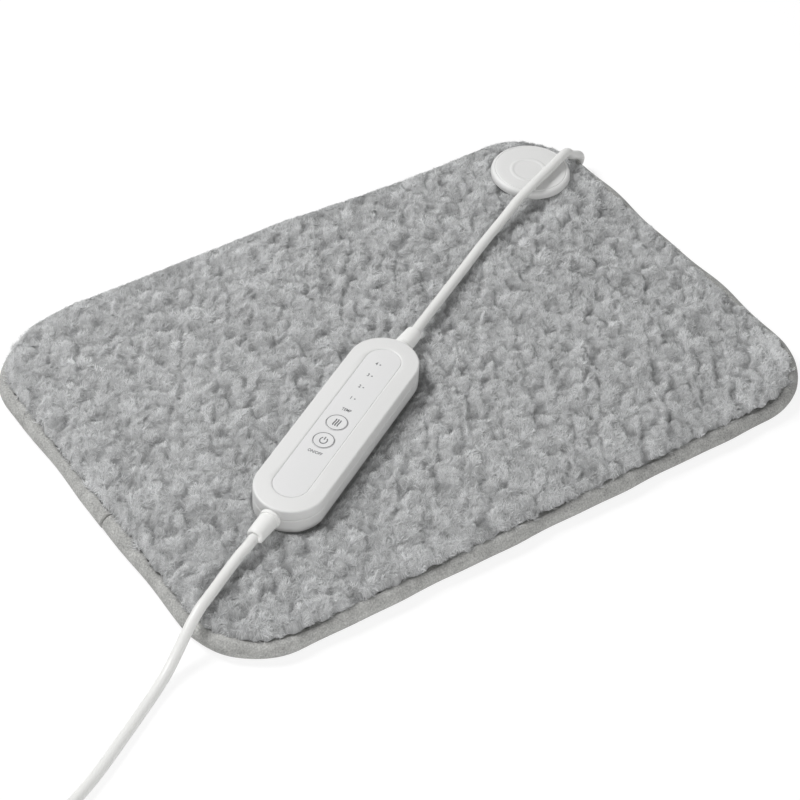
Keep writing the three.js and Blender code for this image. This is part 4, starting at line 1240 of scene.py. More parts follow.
@dataclass
class Cords:
    """The lead to the coupling, and the mains lead with its coil, tie and plug."""

    controller: Controller
    coupling: Coupling
    diameter: float = 5.8 * MM
    lead_route: Route = (
        (43.9, 26.3, 22.2),
        (69.1, 40.5, 20.9),
        (92.5, 53.2, 20.8),
        (115.3, 64.0, 22.4),
        (132.6, 71.3, 25.6),
        (145.5, 75.8, 27.1),
        (158.0, 80.9, 27.2),
        (171.2, 86.3, 27.2),
        (179.2, 89.7, 27.2),
        (183.4, 91.5, 26.6),
        (186.8, 92.9, 24.5),
        (189.6, 94.1, 21.4),
        (192.8, 95.4, 18.6),
        (196.4, 96.8, 16.2),
        (199.8, 98.3, 13.8),
        (202.4, 99.4, 11.0),
        (203.4, 100.0, 8.2),
        (202.7, 100.1, 5.8),
        (200.2, 99.8, 4.1),
        (196.8, 99.3, 3.4),
        (193.3, 98.8, 3.3),
    )
    mains_route: Route = (
        (-157.7, -81.1, 22.6),
        (-170.0, -87.2, 21.2),
        (-182.7, -94.2, 20.7),
        (-193.0, -99.4, 19.6),
        (-202.0, -104.2, 15.6),
        (-211.5, -109.6, 9.8),
        (-222.0, -115.8, 5.0),
        (-236.0, -124.0, 3.2),
        (-258.0, -137.0, 3.2),
        (-282.0, -150.6, 3.2),
        (-306.0, -161.6, 3.3),
    )
    gland_angle: float = math.radians(8)
    gland_end: float = 28.3 * MM
    gland_axis: float = 3.3 * MM
    coil_x: float = -336 * MM
    coil_y: float = -222 * MM
    coil_start: float = math.radians(113)
    coil_turns: float = 7 + (270 - 113) / 360
    coil_middle: float = 64 * MM
    coil_pitch: float = 6.4 * MM
    coil_low: float = 4.5 * MM
    tail: float = 30 * MM
    tail_steps: int = 12
    plug_axis: float = 7.05 * MM
    tie_angle: float = math.radians(205)
    tie_wall: float = 1 * MM
    tie_half: float = 4.5 * MM
    tie_gap: float = 0.5 * MM
    pin_apart: float = 9.3 * MM
    lying_above: float = 12 * MM
    lying_from: float = -210 * MM
    lying: Array = field(init=False)

    def build(self) -> None:
        """Makes both cords, the tie and the plug."""
        lead = self.lead_line()
        mains = self.mains_line()
        fine: list[Vector] = []
        for line in (lead, mains):
            for a, b in zip(line, line[1:]):
                if a.z > self.lying_above and a.x > self.lying_from:
                    fine += [a.lerp(b, k / 3) for k in range(3)]
        self.lying = np.array(fine)
        self.tube(lead, "lead", ["lead_cord"])
        self.controller.cord_end(CaseEnd.LEAD, FIT)
        piece = self.tube(mains, "mains_lead", ["mains_cord", "mains_coil"])
        tie = self.tie()
        plug = self.plug(mains[-1])
        self.controller.cord_end(CaseEnd.MAINS, FIT)

    @staticmethod
    def run(line: Sequence[Vector]) -> float:
        """Gives the length of a line of points."""
        return sum((b - a).length for a, b in zip(line, line[1:]))

    def leaving(self, facing: CaseEnd, route: Route) -> list[Vector]:
        """Gives a route's points, with the two on the axis of the boot that it leaves."""
        tips = [self.controller.cord_end(facing, FIT + past) for past in (0, self.diameter)]
        return tips + [Vector(p) * MM for p in route]

    def lead_line(self) -> list[Vector]:
        """Gives the lead's line from the controller's boot to the coupling's gland.

        Returns:
            The line's points.
        """
        reach = self.gland_end + FIT
        x = self.coupling.x + reach * math.cos(self.gland_angle)
        y = self.coupling.y + reach * math.sin(self.gland_angle)
        gland = Vector((x, y, self.gland_axis))
        points = [*self.leaving(CaseEnd.LEAD, self.lead_route), gland]
        return smooth_route(points, 2 * MM)

    def coil_line(self) -> list[Vector]:
        """Gives the coil's line, in on the lower layer, out on the upper one, and its tail.

        Returns:
            The line's points.
        """
        inner = self.coil_middle / 2 - self.coil_pitch * self.coil_turns / 4
        count = round(self.coil_turns * 72)
        line = []
        for k in range(count + 1):
            turn = k / count * self.coil_turns
            middle = turn - self.coil_turns / 2
            radius = inner + self.coil_pitch * abs(middle)
            angle = self.coil_start + turn * 2 * math.pi
            x = self.coil_x + radius * math.cos(angle)
            y = self.coil_y + radius * math.sin(angle)
            climb = self.coil_pitch * smooth_step(-0.25, 0.25, middle)
            line.append(Vector((x, y, self.coil_low + climb)))
        end = line[-1].copy()
        straight = self.tail - self.diameter
        for k in range(1, self.tail_steps + 1):
            drop = (end.z - self.plug_axis) * smooth_step(0, 1, k / self.tail_steps)
            line.append(Vector((end.x + straight * k / self.tail_steps, end.y, end.z - drop)))
        line.append(Vector((end.x + self.tail, end.y, self.plug_axis)))
        return line

    def mains_line(self) -> list[Vector]:
        """Gives the mains lead's line from the controller's boot through the coil to the plug.

        Returns:
            The line's points.
        """
        coil = self.coil_line()
        into = Vector((-math.sin(self.coil_start), math.cos(self.coil_start), 0))
        points = self.leaving(CaseEnd.MAINS, self.mains_route)
        points += [coil[0] - into * 2 * self.diameter, coil[0] - into * self.diameter]
        return smooth_route(points, 2.5 * MM) + coil

    def nearest(self, x: Array, y: Array) -> tuple[Array, Array]:
        """Gives how far places lie from the cords on the pad, seen from above.

        Args:
            x: Places along X.
            y: Places along Y.

        Returns:
            The distance of each place, and the height of the cord's axis there.
        """
        gap = np.full(x.shape, 1.0)
        axis = np.zeros(x.shape)
        for spot in self.lying:
            here = np.hypot(x - spot[0], y - spot[1])
            axis = np.where(here < gap, spot[2], axis)
            gap = np.minimum(gap, here)
        return gap, axis

    def tube(self, line: Sequence[Vector], name: str, nodes: Sequence[str]) -> bpy.types.Object:
        """Makes a round cord along a line, as a curve of one open spline.

        Args:
            line: The cord's centre line.
            name: The cord's name.
            nodes: The solids that it stands for.

        Returns:
            The cord.
        """
        curve = bpy.data.curves.new(name, "CURVE")
        curve.dimensions = "3D"
        curve.bevel_depth = self.diameter / 2
        curve.bevel_resolution = 6
        curve.use_fill_caps = True
        spline = curve.splines.new("POLY")
        spline.points.add(len(line) - 1)
        for point, spot in zip(spline.points, line):
            point.co = (*spot, 1)
        spline.use_smooth = True
        return dress(curve, name, JACKET, nodes=nodes)

    def tie(self) -> bpy.types.Object:
        """Makes the strap that holds the coil's turns together.

        Returns:
            The strap.
        """
        width = self.coil_pitch * self.coil_turns / 2 + self.diameter + 2 * self.tie_gap
        height = self.coil_pitch + self.diameter + 2 * self.tie_gap
        wall, half = self.tie_wall, self.tie_half
        face = [(0.0, half), (wall * 0.7, half), (wall, half * 0.9)]
        section = [(grow, -along) for grow, along in face] + face[::-1]
        rings = [
            rounded_ring(width + 2 * grow, height + 2 * grow, 3 * MM + grow, along, 6, 4)
            for grow, along in section
        ]
        lift = Matrix.Translation((self.coil_middle / 2, 1.1 * MM + height / 2, 0))
        stand = Matrix.Rotation(math.pi / 2, 4, "X")
        turn = Matrix.Rotation(self.tie_angle, 4, "Z")
        place = Matrix.Translation((self.coil_x, self.coil_y, 0)) @ turn @ stand @ lift
        return finish_piece(skin(rings, loop=True), "coil_strap", STRAP, place, node="coil_tie")

    def plug(self, start: Vector) -> list[bpy.types.Object]:
        """Makes the flat two-pin plug with its ribbed relief.

        Args:
            start: Where the cord enters it.

        Returns:
            The plug's body and its pins.
        """
        stations: list[tuple[float, float, float]] = []
        for k in range(5):
            size = 8.6 + 2.4 * k / 5
            rib = [(0.15, 0.3), (0.4, 0), (2.7, 0), (3.0, 0.8), (4.5, 0.8)]
            stations += [(4.8 * k + past, size - less, size - less) for past, less in rib]
        stations += [
            (24.0, 11.0, 11.0),
            (25.0, 12.8, 12.0),
            (27.5, 15.4, 13.1),
            (31.0, 19.6, 13.6),
            (35.0, 25.4, 13.7),
            (39.0, 31.6, 13.7),
            (42.0, 34.6, 13.7),
            (44.5, 35.3, 13.7),
            (54.2, 35.3, 13.7),
            (55.4, 34.7, 13.1),
            (56.0, 33.3, 11.7),
        ]
        rings = [
            rounded_ring(h * MM, w * MM, min(w, h) * 0.45 * MM, x * MM, 8, 3)
            for x, w, h in stations
        ]
        turn = Matrix.Rotation(math.pi / 2, 4, "Y")
        place = Matrix.Translation(start + Vector((FIT, 0, 0))) @ turn
        sides = (-self.pin_apart, self.pin_apart)
        bm = carve(skin(rings), [upright(2.3 * MM, 50 * MM, 58 * MM, 0, y) for y in sides])
        pieces = [finish_piece(bm, "plug_shell", CASE, place, node="plug_body")]
        profile = offsets([(0, 50.3), (2, 50.3), (2, 73), (1.75, 74), (1.1, 74.75), (0, 75)])
        for k, y in enumerate(sides, 1):
            pin = turned(profile, 40)
            bmesh.ops.translate(pin, vec=(0, y, 0), verts=pin.verts)
            pieces.append(finish_piece(pin, f"pin_{k}", STEEL, place, node=f"plug_pin_{k}"))
        return pieces


@dataclass
class PadPlan:
    """The pad's rounded rectangle, seen from above."""

    length: float = 400 * MM
    width: float = 275 * MM
    corner: float = 46 * MM
    least_corner: float = 1 * MM

    def rings(self, profile: Profile, sides: int) -> list[Ring]:
        """Gives the plan's rings, one for each inset and height of a profile.

        Args:
            profile: Inset and height of each ring.
            sides: Pieces that each straight side is split into.

        Returns:
            The rings in order.
        """
        return [
            rounded_ring(
                self.length - 2 * inset,
                self.width - 2 * inset,
                max(self.corner - inset, self.least_corner),
                height,
                steps=24,
                sides=sides,
            )
            for inset, height in profile
        ]

    def inside(self, x: Array, y: Array) -> Array:
        """Gives how far places lie inside the pad's edge, negative outside it.

        Args:
            x: Places along X.
            y: Places along Y.

        Returns:
            The distances.
        """
        qx = np.abs(x) - (self.length / 2 - self.corner)
        qy = np.abs(y) - (self.width / 2 - self.corner)
        out = np.hypot(np.maximum(qx, 0), np.maximum(qy, 0)) + np.minimum(np.maximum(qx, qy), 0)
        return self.corner - out

    def outward(self, x: Array, y: Array) -> tuple[Array, Array]:
        """Gives the direction from places to the nearest edge.

        Args:
            x: Places along X.
            y: Places along Y.

        Returns:
            The direction's shares along X and Y.
        """
        step = 0.2 * MM
        gx = (self.inside(x - step, y) - self.inside(x + step, y)) / (2 * step)
        gy = (self.inside(x, y - step) - self.inside(x, y + step)) / (2 * step)
        size = np.maximum(np.hypot(gx, gy), 1e-9)
        return gx / size, gy / size


@dataclass(frozen=True)
class Lumps:
    """The soft lumps that the pile gathers into, on a jittered lattice of rows."""

    pitch: float
    x: Array
    y: Array
    turn: Array
    along: Array
    broad: Array
    rise: Array
    tone: Array


@dataclass
class PlushPile:
    """The padded plush top: dense lumps of pile, with tufts of finer fibre over them."""

    plan: PadPlan
    controller: Controller
    coupling: Coupling
    cords: Cords
    under: float = 10.95 * MM
    top: float = 16.8 * MM
    inset: float = 5.5 * MM
    shoulder: float = 5.5 * MM
    step: float = 1.2 * MM
    pitch: float = 9.6 * MM
    lump: float = 2.4 * MM
    fine_pitch: float = 5.4 * MM
    fine_lump: float = 1.15 * MM
    row_share: float = 0.866
    jitter: float = 0.38
    turn_spread: float = 0.35
    long_ends: tuple[float, float] = (0.55, 1.25)
    broad_ends: tuple[float, float] = (0.4, 0.75)
    front_share: float = 0.72
    back_share: float = 1.2
    dome_curve: float = 1.3
    middle_tone: float = 0.52
    sharp: float = 2.2
    ragged: float = 0.6 * MM
    fibre: float = 3.9 * MM
    blade: float = 0.35 * MM
    blades: int = 11
    taper: float = 0.35
    edge_shade: float = 0.03
    root_lift: float = 0.15 * MM
    lift_curve: float = 1.6
    lifts: tuple[float, ...] = (0.3, 0.6, 0.9, 1.3, 1.8)
    splay: float = 0.8
    rim_nap: float = 0.5
    variants: int = 18
    tufts: int = 6
    pieces: int = 9
    cell: float = 0.5 * MM
    nap: float = math.radians(53)
    swept: float = 4.8 * MM
    sweep_start: float = -195 * MM
    sweep_reach: float = 60 * MM
    wane_start: float = 10 * MM
    wane_reach: float = 80 * MM
    wane_share: float = 0.75
    calm_reach: float = 10 * MM
    calm_share: float = 0.95
    drift_rise: float = 0.5 * MM
    swell: float = 0.7 * MM
    swell_start: float = 2 * MM
    swell_reach: float = 7 * MM
    lee_depth: float = 1.5 * MM
    lee_slope: float = 0.8
    case_slope: float = 1.6
    cap_slope: float = 4
    cord_slope: float = 1.5
    cord_gap: float = 0.2 * MM
    boss_radius: float = 3.6 * MM
    boss_apart: float = 13 * MM
    fringe_draws: int = 45000
    fringe_band: tuple[float, float] = (3 * MM, 6.5 * MM)
    steep_band: tuple[float, float] = (0.4 * MM, 3 * MM)
    case_shadow_tone: float = 0.6
    case_shadow_reach: float = 4 * MM
    cord_shadow_tone: float = 0.35
    cord_shadow_shift: tuple[float, float] = (2.8 * MM, -2.1 * MM)
    cord_shadow_reach: float = 3 * MM
    drift_tone: float = 0.07
    pale_tone: float = 0.9
    pale_spot: tuple[float, float] = (183 * MM, -110 * MM)
    pale_stretch: float = 1.6
    pale_reach: float = 9 * MM
    # Painted shade in the lumps' creases and painted light on their crowns.
    painted_pit_shade: float = 1.1
    pit_level: float = 0.5
    painted_relief_shading: float = 0.36
    crown_level: float = 0.65
    seed: int = 7
    coarse: Lumps = field(init=False)
    fine: Lumps = field(init=False)
    relief: Array = field(init=False)
    levels: Array = field(init=False)

    def build(self) -> None:
        """Makes the lumpy body and the fibres over it."""
        random = np.random.default_rng(self.seed)
        self.coarse = self.scatter(random, self.pitch, self.lump)
        self.fine = self.scatter(random, self.fine_pitch, self.fine_lump)
        self.survey()
        self.body()
        self.coat(random)

    def survey(self) -> None:
        """Works out the body's height and level once on a fine grid, for the fibres to lie on."""
        columns = round(self.plan.length / self.cell) + 41
        rows = round(self.plan.width / self.cell) + 41
        row, column = np.indices((rows, columns))
        x = (column - (columns - 1) / 2) * self.cell
        y = (row - (rows - 1) / 2) * self.cell
        self.relief = self.height(x, y)
        self.levels = self.level(x, y)

    def sample(self, grid: Array, x: Array, y: Array) -> Array:
        """Gives a surveyed value at places between those of the survey.

        Args:
            grid: The surveyed values, in rows along Y.
            x: Places along X.
            y: Places along Y.

        Returns:
            The values.
        """
        rows, columns = grid.shape
        u = np.clip(x / self.cell + (columns - 1) / 2, 0, columns - 1.001)
        v = np.clip(y / self.cell + (rows - 1) / 2, 0, rows - 1.001)
        i, j = u.astype(int), v.astype(int)
        u, v = u - i, v - j
        low = grid[j, i] * (1 - u) + grid[j, i + 1] * u
        high = grid[j + 1, i] * (1 - u) + grid[j + 1, i + 1] * u
        return low * (1 - v) + high * v

    def scatter(self, random: np.random.Generator, pitch: float, rise: float) -> Lumps:
        """Sets out lumps of one size over the pad.

        Args:
            random: The source of their variation.
            pitch: Their distance.
            rise: Their height.

        Returns:
            The lumps in rows and columns.
        """
        rows = int(self.plan.width / (pitch * self.row_share)) + 8
        columns = int(self.plan.length / pitch) + 8
        row, column = np.indices((rows, columns))
        size = row.shape
        x = (column + 0.5 * (row % 2) - columns / 2) * pitch
        y = (row - rows / 2) * pitch * self.row_share
        return Lumps(
            pitch=pitch,
            x=x + random.uniform(-self.jitter, self.jitter, size) * pitch,
            y=y + random.uniform(-self.jitter, self.jitter, size) * pitch,
            turn=random.normal(self.nap, self.turn_spread, size),
            along=pitch * random.uniform(*self.long_ends, size),
            broad=pitch * random.uniform(*self.broad_ends, size),
            rise=rise * np.clip(random.normal(1.0, 0.3, size), 0.3, 1.5),
            tone=np.clip(random.normal(self.middle_tone, 0.15, size), 0.05, 0.95),
        )

    @staticmethod
    def drift(x: Array, y: Array, phase: float) -> Array:
        """Gives a slow, smooth change over the pad, between about minus one and one.

        Args:
            x: Places along X.
            y: Places along Y.
            phase: Picks one of many such changes.

        Returns:
            The values.
        """
        # Radians per metre along X and Y, and the angle that each wave starts at.
        waves = ((23, 11, 0.9), (-17, 29, 2.1), (41, 37, 4.0), (-61, 47, 5.3), (83, -71, 1.2))
        sines = [np.sin(a * x + b * y + c + phase * k) for k, (a, b, c) in enumerate(waves, 1)]
        return sum(sines) / 3

    def lumpy(self, x: Array, y: Array) -> Array:
        """Gives the height of the lumps of both sizes above the deepest crease.

        Args:
            x: Places along X.
            y: Places along Y.

        Returns:
            The heights.
        """
        broad, fine = 1.1 * MM, 0.6 * MM  # how far the creases wander
        bent_x = x + broad * np.sin(310 * y + 140 * x) + fine * np.sin(690 * x - 520 * y)
        bent_y = y + broad * np.sin(280 * x - 170 * y) + fine * np.sin(610 * y + 540 * x)
        return self.heaped(self.coarse, bent_x, bent_y) + self.heaped(self.fine, bent_x, bent_y)

    def level(self, x: Array, y: Array) -> Array:
        """Gives how high places lie on the lumps, from nought in a crease to one on a crown."""
        return np.clip(self.lumpy(x, y) / (self.lump + self.fine_lump), 0, 1)

    def heaped(self, lumps: Lumps, x: Array, y: Array) -> Array:
        """Gives the height of the lumps of one size above their deepest crease.

        Args:
            lumps: The lumps.
            x: Places along X.
            y: Places along Y.

        Returns:
            The heights, a soft greatest of the domes nearby.
        """
        rows, columns = lumps.x.shape
        middle = np.rint(y / (lumps.pitch * self.row_share) + rows / 2).astype(int)
        domes = []
        for row in (np.clip(middle + k, 0, rows - 1) for k in range(-2, 3)):
            centre = np.rint(x / lumps.pitch + columns / 2 - 0.5 * (row % 2)).astype(int)
            for column in (np.clip(centre + k, 0, columns - 1) for k in range(-2, 3)):
                at = (row, column)
                dx = x - lumps.x[at]
                dy = y - lumps.y[at]
                cosine, sine = np.cos(lumps.turn[at]), np.sin(lumps.turn[at])
                ahead = dx * cosine + dy * sine
                share = np.where(ahead > 0, self.front_share, self.back_share)
                far = (ahead / (share * lumps.along[at])) ** 2
                far += ((dy * cosine - dx * sine) / lumps.broad[at]) ** 2
                domes.append(lumps.rise[at] * (1 - far**self.dome_curve))
        heap = np.stack(domes) / MM * self.sharp
        peak = heap.max(axis=0)
        soft = peak + np.log(np.exp(heap - peak).sum(axis=0))
        return np.maximum(soft / self.sharp * MM, 0)

    def sweep(self, x: Array, y: Array) -> Array:
        """Gives how far the nap sweeps the pile out at the edges that it leans to.

        Args:
            x: Places along X.
            y: Places along Y.

        Returns:
            The distances.
        """
        ends = np.clip((x - self.sweep_start) / self.sweep_reach, 0, 1)
        ends *= 1 - self.wane_share * np.clip((x - self.wane_start) / self.wane_reach, 0, 1)
        return self.swept * self.far_side(x, y) * ends

    def far_side(self, x: Array, y: Array) -> Array:
        """Gives how far the nearest edge is one that the nap leans to, nought to one."""
        return np.clip(1.4 * self.plan.outward(x, y)[1] - 0.4, 0, 1)

    def rim(self, x: Array, y: Array) -> Array:
        """Gives how far places lie inside the pile's ragged rim, negative outside it.

        Args:
            x: Places along X.
            y: Places along Y.

        Returns:
            The distances.
        """
        rough = np.sin(430 * x + 390 * y) + np.sin(650 * y - 710 * x + 1.3)
        rough *= self.ragged * (1 - self.far_side(x, y))
        return self.plan.inside(x, y) - self.inset + self.sweep(x, y) + rough

    def beside_cap(self, x: Array, y: Array) -> Array:
        """Gives how far places lie outside the coupling's disc, negative under it."""
        return np.hypot(x - self.coupling.x, y - self.coupling.y) - self.coupling.radius

    def height(self, x: Array, y: Array) -> Array:
        """Gives the height of the pile's body, pressed by what lies on it.

        Args:
            x: Places along X.
            y: Places along Y.

        Returns:
            The heights.
        """
        full = self.lump + self.fine_lump
        rim = self.rim(x, y)
        calm = self.far_side(x, y) * (1 - np.clip(rim / self.calm_reach, 0, 1))
        rise = self.lumpy(x, y) * (1 - calm) + self.calm_share * full * calm
        z = self.top - full + rise + self.drift_rise * self.drift(x, y, 1.9)
        share = np.clip(rim / (self.shoulder - self.sweep(x, y)), 0, 1)
        cap = self.beside_cap(x, y)
        beyond = np.maximum(cap - self.swell_start, 0) / self.swell_reach
        z += self.swell * np.exp(-(beyond**2))
        z = self.under + (z - self.under) * np.sqrt(1 - (1 - share) ** 2)
        case = self.controller.holds(x, y)
        lee = self.controller.lee(x, y)
        pressed = self.controller.foot - FIT - self.lee_depth * lee
        slope = self.case_slope - self.lee_slope * lee
        z = np.minimum(z, pressed + slope * np.maximum(case, 0))
        z = np.minimum(z, self.coupling.under - FIT + self.cap_slope * np.maximum(cap, 0))
        gap, axis = self.cords.nearest(x, y)
        reach = self.cords.diameter / 2 + self.cord_gap
        sunk = axis - np.sqrt(np.maximum(reach**2 - gap**2, 0))
        z = np.minimum(z, sunk + self.cord_slope * np.maximum(gap - reach, 0))
        return np.maximum(z, self.under)

    def body(self) -> None:
        """Makes the closed, padded body from a grid that is trimmed to the pad's plan."""
        spare = self.swept + 2 * self.ragged + self.step - self.inset
        half_x = self.plan.length / 2 + spare
        half_y = self.plan.width / 2 + spare
        bm = bmesh.new()
        bmesh.ops.create_grid(
            bm,
            x_segments=round(2 * half_x / self.step),
            y_segments=round(2 * half_y / self.step),
            size=1,
            matrix=Matrix.Diagonal((half_x, half_y, 1, 1)),
        )
        x, y = np.array([v.co[:2] for v in bm.verts]).T
        cut = self.rim(x, y) < -0.9 * self.step
        bmesh.ops.delete(bm, geom=[v for v, c in zip(bm.verts, cut) if c], context="VERTS")
        x, y = np.array([v.co[:2] for v in bm.verts]).T
        past = -self.rim(x, y)
        rim = np.array([v.is_boundary for v in bm.verts]) | (past > 0)
        out_x, out_y = self.plan.outward(x, y)
        x = np.where(rim, x - out_x * past, x)
        y = np.where(rim, y - out_y * past, y)
        z = np.where(rim, self.under, self.height(x, y))
        level = np.where(rim, 0.2, self.level(x, y))
        crease = bm.verts.layers.float.new(CREASE)
        for vert, spot, value in zip(bm.verts, np.stack([x, y, z], axis=1), level):
            vert.co = spot
            vert[crease] = value
        bmesh.ops.edgeloop_fill(bm, edges=[e for e in bm.edges if e.is_boundary])
        bmesh.ops.recalc_face_normals(bm, faces=bm.faces)
        at, aside = self.coupling, self.boss_apart
        spots = [at.y - aside, at.y + aside]
        holes = [upright(self.boss_radius, 5 * MM, 20 * MM, at.x, spot) for spot in spots]
        bm = carve(bm, holes)
        piece = finish_piece(bm, "plush_body", DENSE_PILE, node="plush_cover", crease=89)

    def tuft(self, random: np.random.Generator) -> Fibres:
        """Makes one flat brush of tapered fibres that lean along X, from strips of grid.

        Args:
            random: The source of its variation.

        Returns:
            The fibres' points in plan with their lift off the lump, their triangles, and each
            point's shade and share of the fibre's length.
        """
        bm = bmesh.new()
        shade_layer = bm.verts.layers.float.new("shade")
        rise_layer = bm.verts.layers.float.new("rise")
        for _ in range(self.blades):
            grid = bmesh.ops.create_grid(bm, x_segments=1, y_segments=3, size=1)
            start = Matrix.Translation((*random.uniform(-1.5, 1.5, 2) * MM, 0))
            long = self.fibre * random.uniform(0.6, 1.1)
            curl = random.normal(0, 0.3)
            lift = random.choice(self.lifts) * MM
            roll = random.normal(0, 0.2)
            turn = Matrix.Rotation(random.normal(0, 0.6), 4, "Z")
            shade = 0.07 - abs(random.normal(0, 0.14))
            for vert in grid["verts"]:
                share = (vert.co.y + 1) / 2
                tip = share > 0.99
                broad = 0.0 if tip else vert.co.x * self.blade / 2 * (1 - self.taper * share)
                swing = curl * share
                vert[shade_layer] = shade + (0.0 if tip else self.edge_shade * vert.co.x)
                vert[rise_layer] = share
                x = long * share * math.cos(swing) - broad * math.sin(swing)
                y = long * share * math.sin(swing) + broad * math.cos(swing)
                z = self.root_lift + lift * share**self.lift_curve + broad * math.sin(roll)
                vert.co = Vector((x, y, z))
            bmesh.ops.transform(bm, matrix=start @ turn, verts=grid["verts"])
        bmesh.ops.remove_doubles(bm, verts=bm.verts, dist=1e-7)
        bmesh.ops.triangulate(bm, faces=bm.faces)
        bm.verts.index_update()
        points = np.array([v.co for v in bm.verts])
        faces = np.array([[v.index for v in f.verts] for f in bm.faces])
        marks = np.array([[v[shade_layer], v[rise_layer]] for v in bm.verts])
        bm.free()
        return points, faces, marks

    def coat(self, random: np.random.Generator) -> None:
        """Lays tufts of fibre over the lumps and the rim, and gathers them into a few pieces.

        Args:
            random: The source of their variation.
        """
        shapes = [self.tuft(random) for _ in range(self.variants)]
        lumps = self.fine
        count = lumps.x.size * self.tufts
        reach = np.repeat(lumps.broad.ravel(), self.tufts) * random.uniform(0, 0.6, count)
        turn = random.uniform(0, 2 * math.pi, count)
        x = np.repeat(lumps.x.ravel(), self.tufts) + reach * np.cos(turn)
        y = np.repeat(lumps.y.ravel(), self.tufts) + reach * np.sin(turn)
        tone = np.repeat(lumps.tone.ravel(), self.tufts) + random.normal(0, 0.07, count)
        nap_x, nap_y = math.cos(self.nap), math.sin(self.nap)
        rim_x, rim_y = self.fringe(random)
        out_x, out_y = self.plan.outward(rim_x, rim_y)
        lean_x = np.concatenate([nap_x + self.splay * np.cos(turn), out_x + self.rim_nap * nap_x])
        lean_y = np.concatenate([nap_y + self.splay * np.sin(turn), out_y + self.rim_nap * nap_y])
        x = np.concatenate([x, rim_x])
        y = np.concatenate([y, rim_y])
        tone = np.concatenate([tone, random.normal(self.middle_tone, 0.16, len(rim_x))])
        tone = self.tone_with_painted_shadow(tone, x, y)
        grown = random.uniform(0.85, 1.15, len(x))
        turn = np.arctan2(lean_y, lean_x) + random.normal(0, 0.25, len(x))
        kind = random.integers(self.variants, size=len(x))
        keep = (self.rim(x, y) > 0.2 * MM) & (self.controller.holds(x, y) > 0.5 * MM)
        order = np.flatnonzero(keep & (self.beside_cap(x, y) > 0))
        order = order[np.argsort(x[order], kind="stable")]
        for k, share in enumerate(np.array_split(order, self.pieces), 1):
            groups = [
                self.plant(shape, x[some], y[some], grown[some], turn[some], tone[some])
                for number, shape in enumerate(shapes)
                if len(some := share[kind[share] == number])
            ]
            self.gather(f"pile_{k}", groups)

    def tone_with_painted_shadow(self, tone: Array, x: Array, y: Array) -> Array:
        """Paints shadow on the pile beside the case and the cords, on their sides away from the key
        light, and pales one corner.

        Args:
            tone: The tone of each place.
            x: Places along X.
            y: Places along Y.

        Returns:
            The tones as they are seen.
        """
        # Painted shadow on the pile beside the case, on its side away from the key light.
        near = np.exp(-np.maximum(self.controller.holds(x, y), 0) / self.case_shadow_reach)
        tone = tone - self.case_shadow_tone * near * self.controller.lee(x, y)
        # Painted shadow on the pile beside the cords, shifted to their side away from the key light.
        shift_x, shift_y = self.cord_shadow_shift
        beside = self.cords.nearest(x - shift_x, y - shift_y)[0] / self.cord_shadow_reach
        tone -= self.cord_shadow_tone * np.exp(-(beside**2))
        tone += self.drift_tone * self.drift(4 * x, 4 * y, 5.1)
        pale_x, pale_y = self.pale_spot
        corner = np.hypot(x - pale_x, (y - pale_y) / self.pale_stretch) / self.pale_reach
        return tone + self.pale_tone * np.exp(-(corner**2))

    def fringe(self, random: np.random.Generator) -> tuple[Array, Array]:
        """Scatters places over the pile's rounded rim, and along its brink where it stands steep.

        Args:
            random: The source of their variation.

        Returns:
            The places along X and along Y.
        """
        x = random.uniform(-0.5, 0.5, self.fringe_draws) * self.plan.length
        y = random.uniform(-0.5, 0.5, self.fringe_draws) * self.plan.width
        rim = self.rim(x, y)
        steep = self.far_side(x, y) > 0.1
        low, high = (np.where(steep, a, b) for a, b in zip(self.steep_band, self.fringe_band))
        keep = (rim > low) & (rim < high)
        return x[keep], y[keep]

    def plant(
        self, shape: Fibres, x: Array, y: Array, grown: Array, turn: Array, tone: Array
    ) -> Fibres:
        """Repeats one tuft over many places and drapes it over the body there.

        Args:
            shape: The tuft's points, triangles and marks.
            x: The places along X.
            y: The places along Y.
            grown: The size at each place.
            turn: The turn at each place.
            tone: The shade at each place.

        Returns:
            All points, triangles and map places.
        """
        points, faces, marks = shape
        cosine, sine = (grown * np.cos(turn))[:, None], (grown * np.sin(turn))[:, None]
        out_x = x[:, None] + cosine * points[:, 0] - sine * points[:, 1]
        out_y = y[:, None] + sine * points[:, 0] + cosine * points[:, 1]
        out_z = self.sample(self.relief, out_x, out_y) + points[:, 2]
        level = self.sample(self.levels, out_x, out_y)
        placed = np.stack([out_x, out_y, out_z], axis=2)
        shifted = faces[None] + len(points) * np.arange(len(x))[:, None, None]
        # Painted shade and light: the creases are darker and the crowns paler, and the creases
        # darker still towards the side that lies away from the key light.
        shaded = np.clip(0.6 + 2 * (x - 2 * y), 0.1, 1.0)[:, None]
        pit = np.maximum(self.pit_level - level, 0) * shaded
        width = tone[:, None] + marks[None, :, 0] + self.painted_relief_shading * (level - self.crown_level)
        width = np.clip(width - self.painted_pit_shade * pit, 0.02, 0.98)
        rise = np.broadcast_to(0.02 + 0.96 * marks[None, :, 1], width.shape)
        maps = np.stack([width, rise], axis=2)
        return placed.reshape(-1, 3), shifted.reshape(-1, 3), maps.reshape(-1, 2)

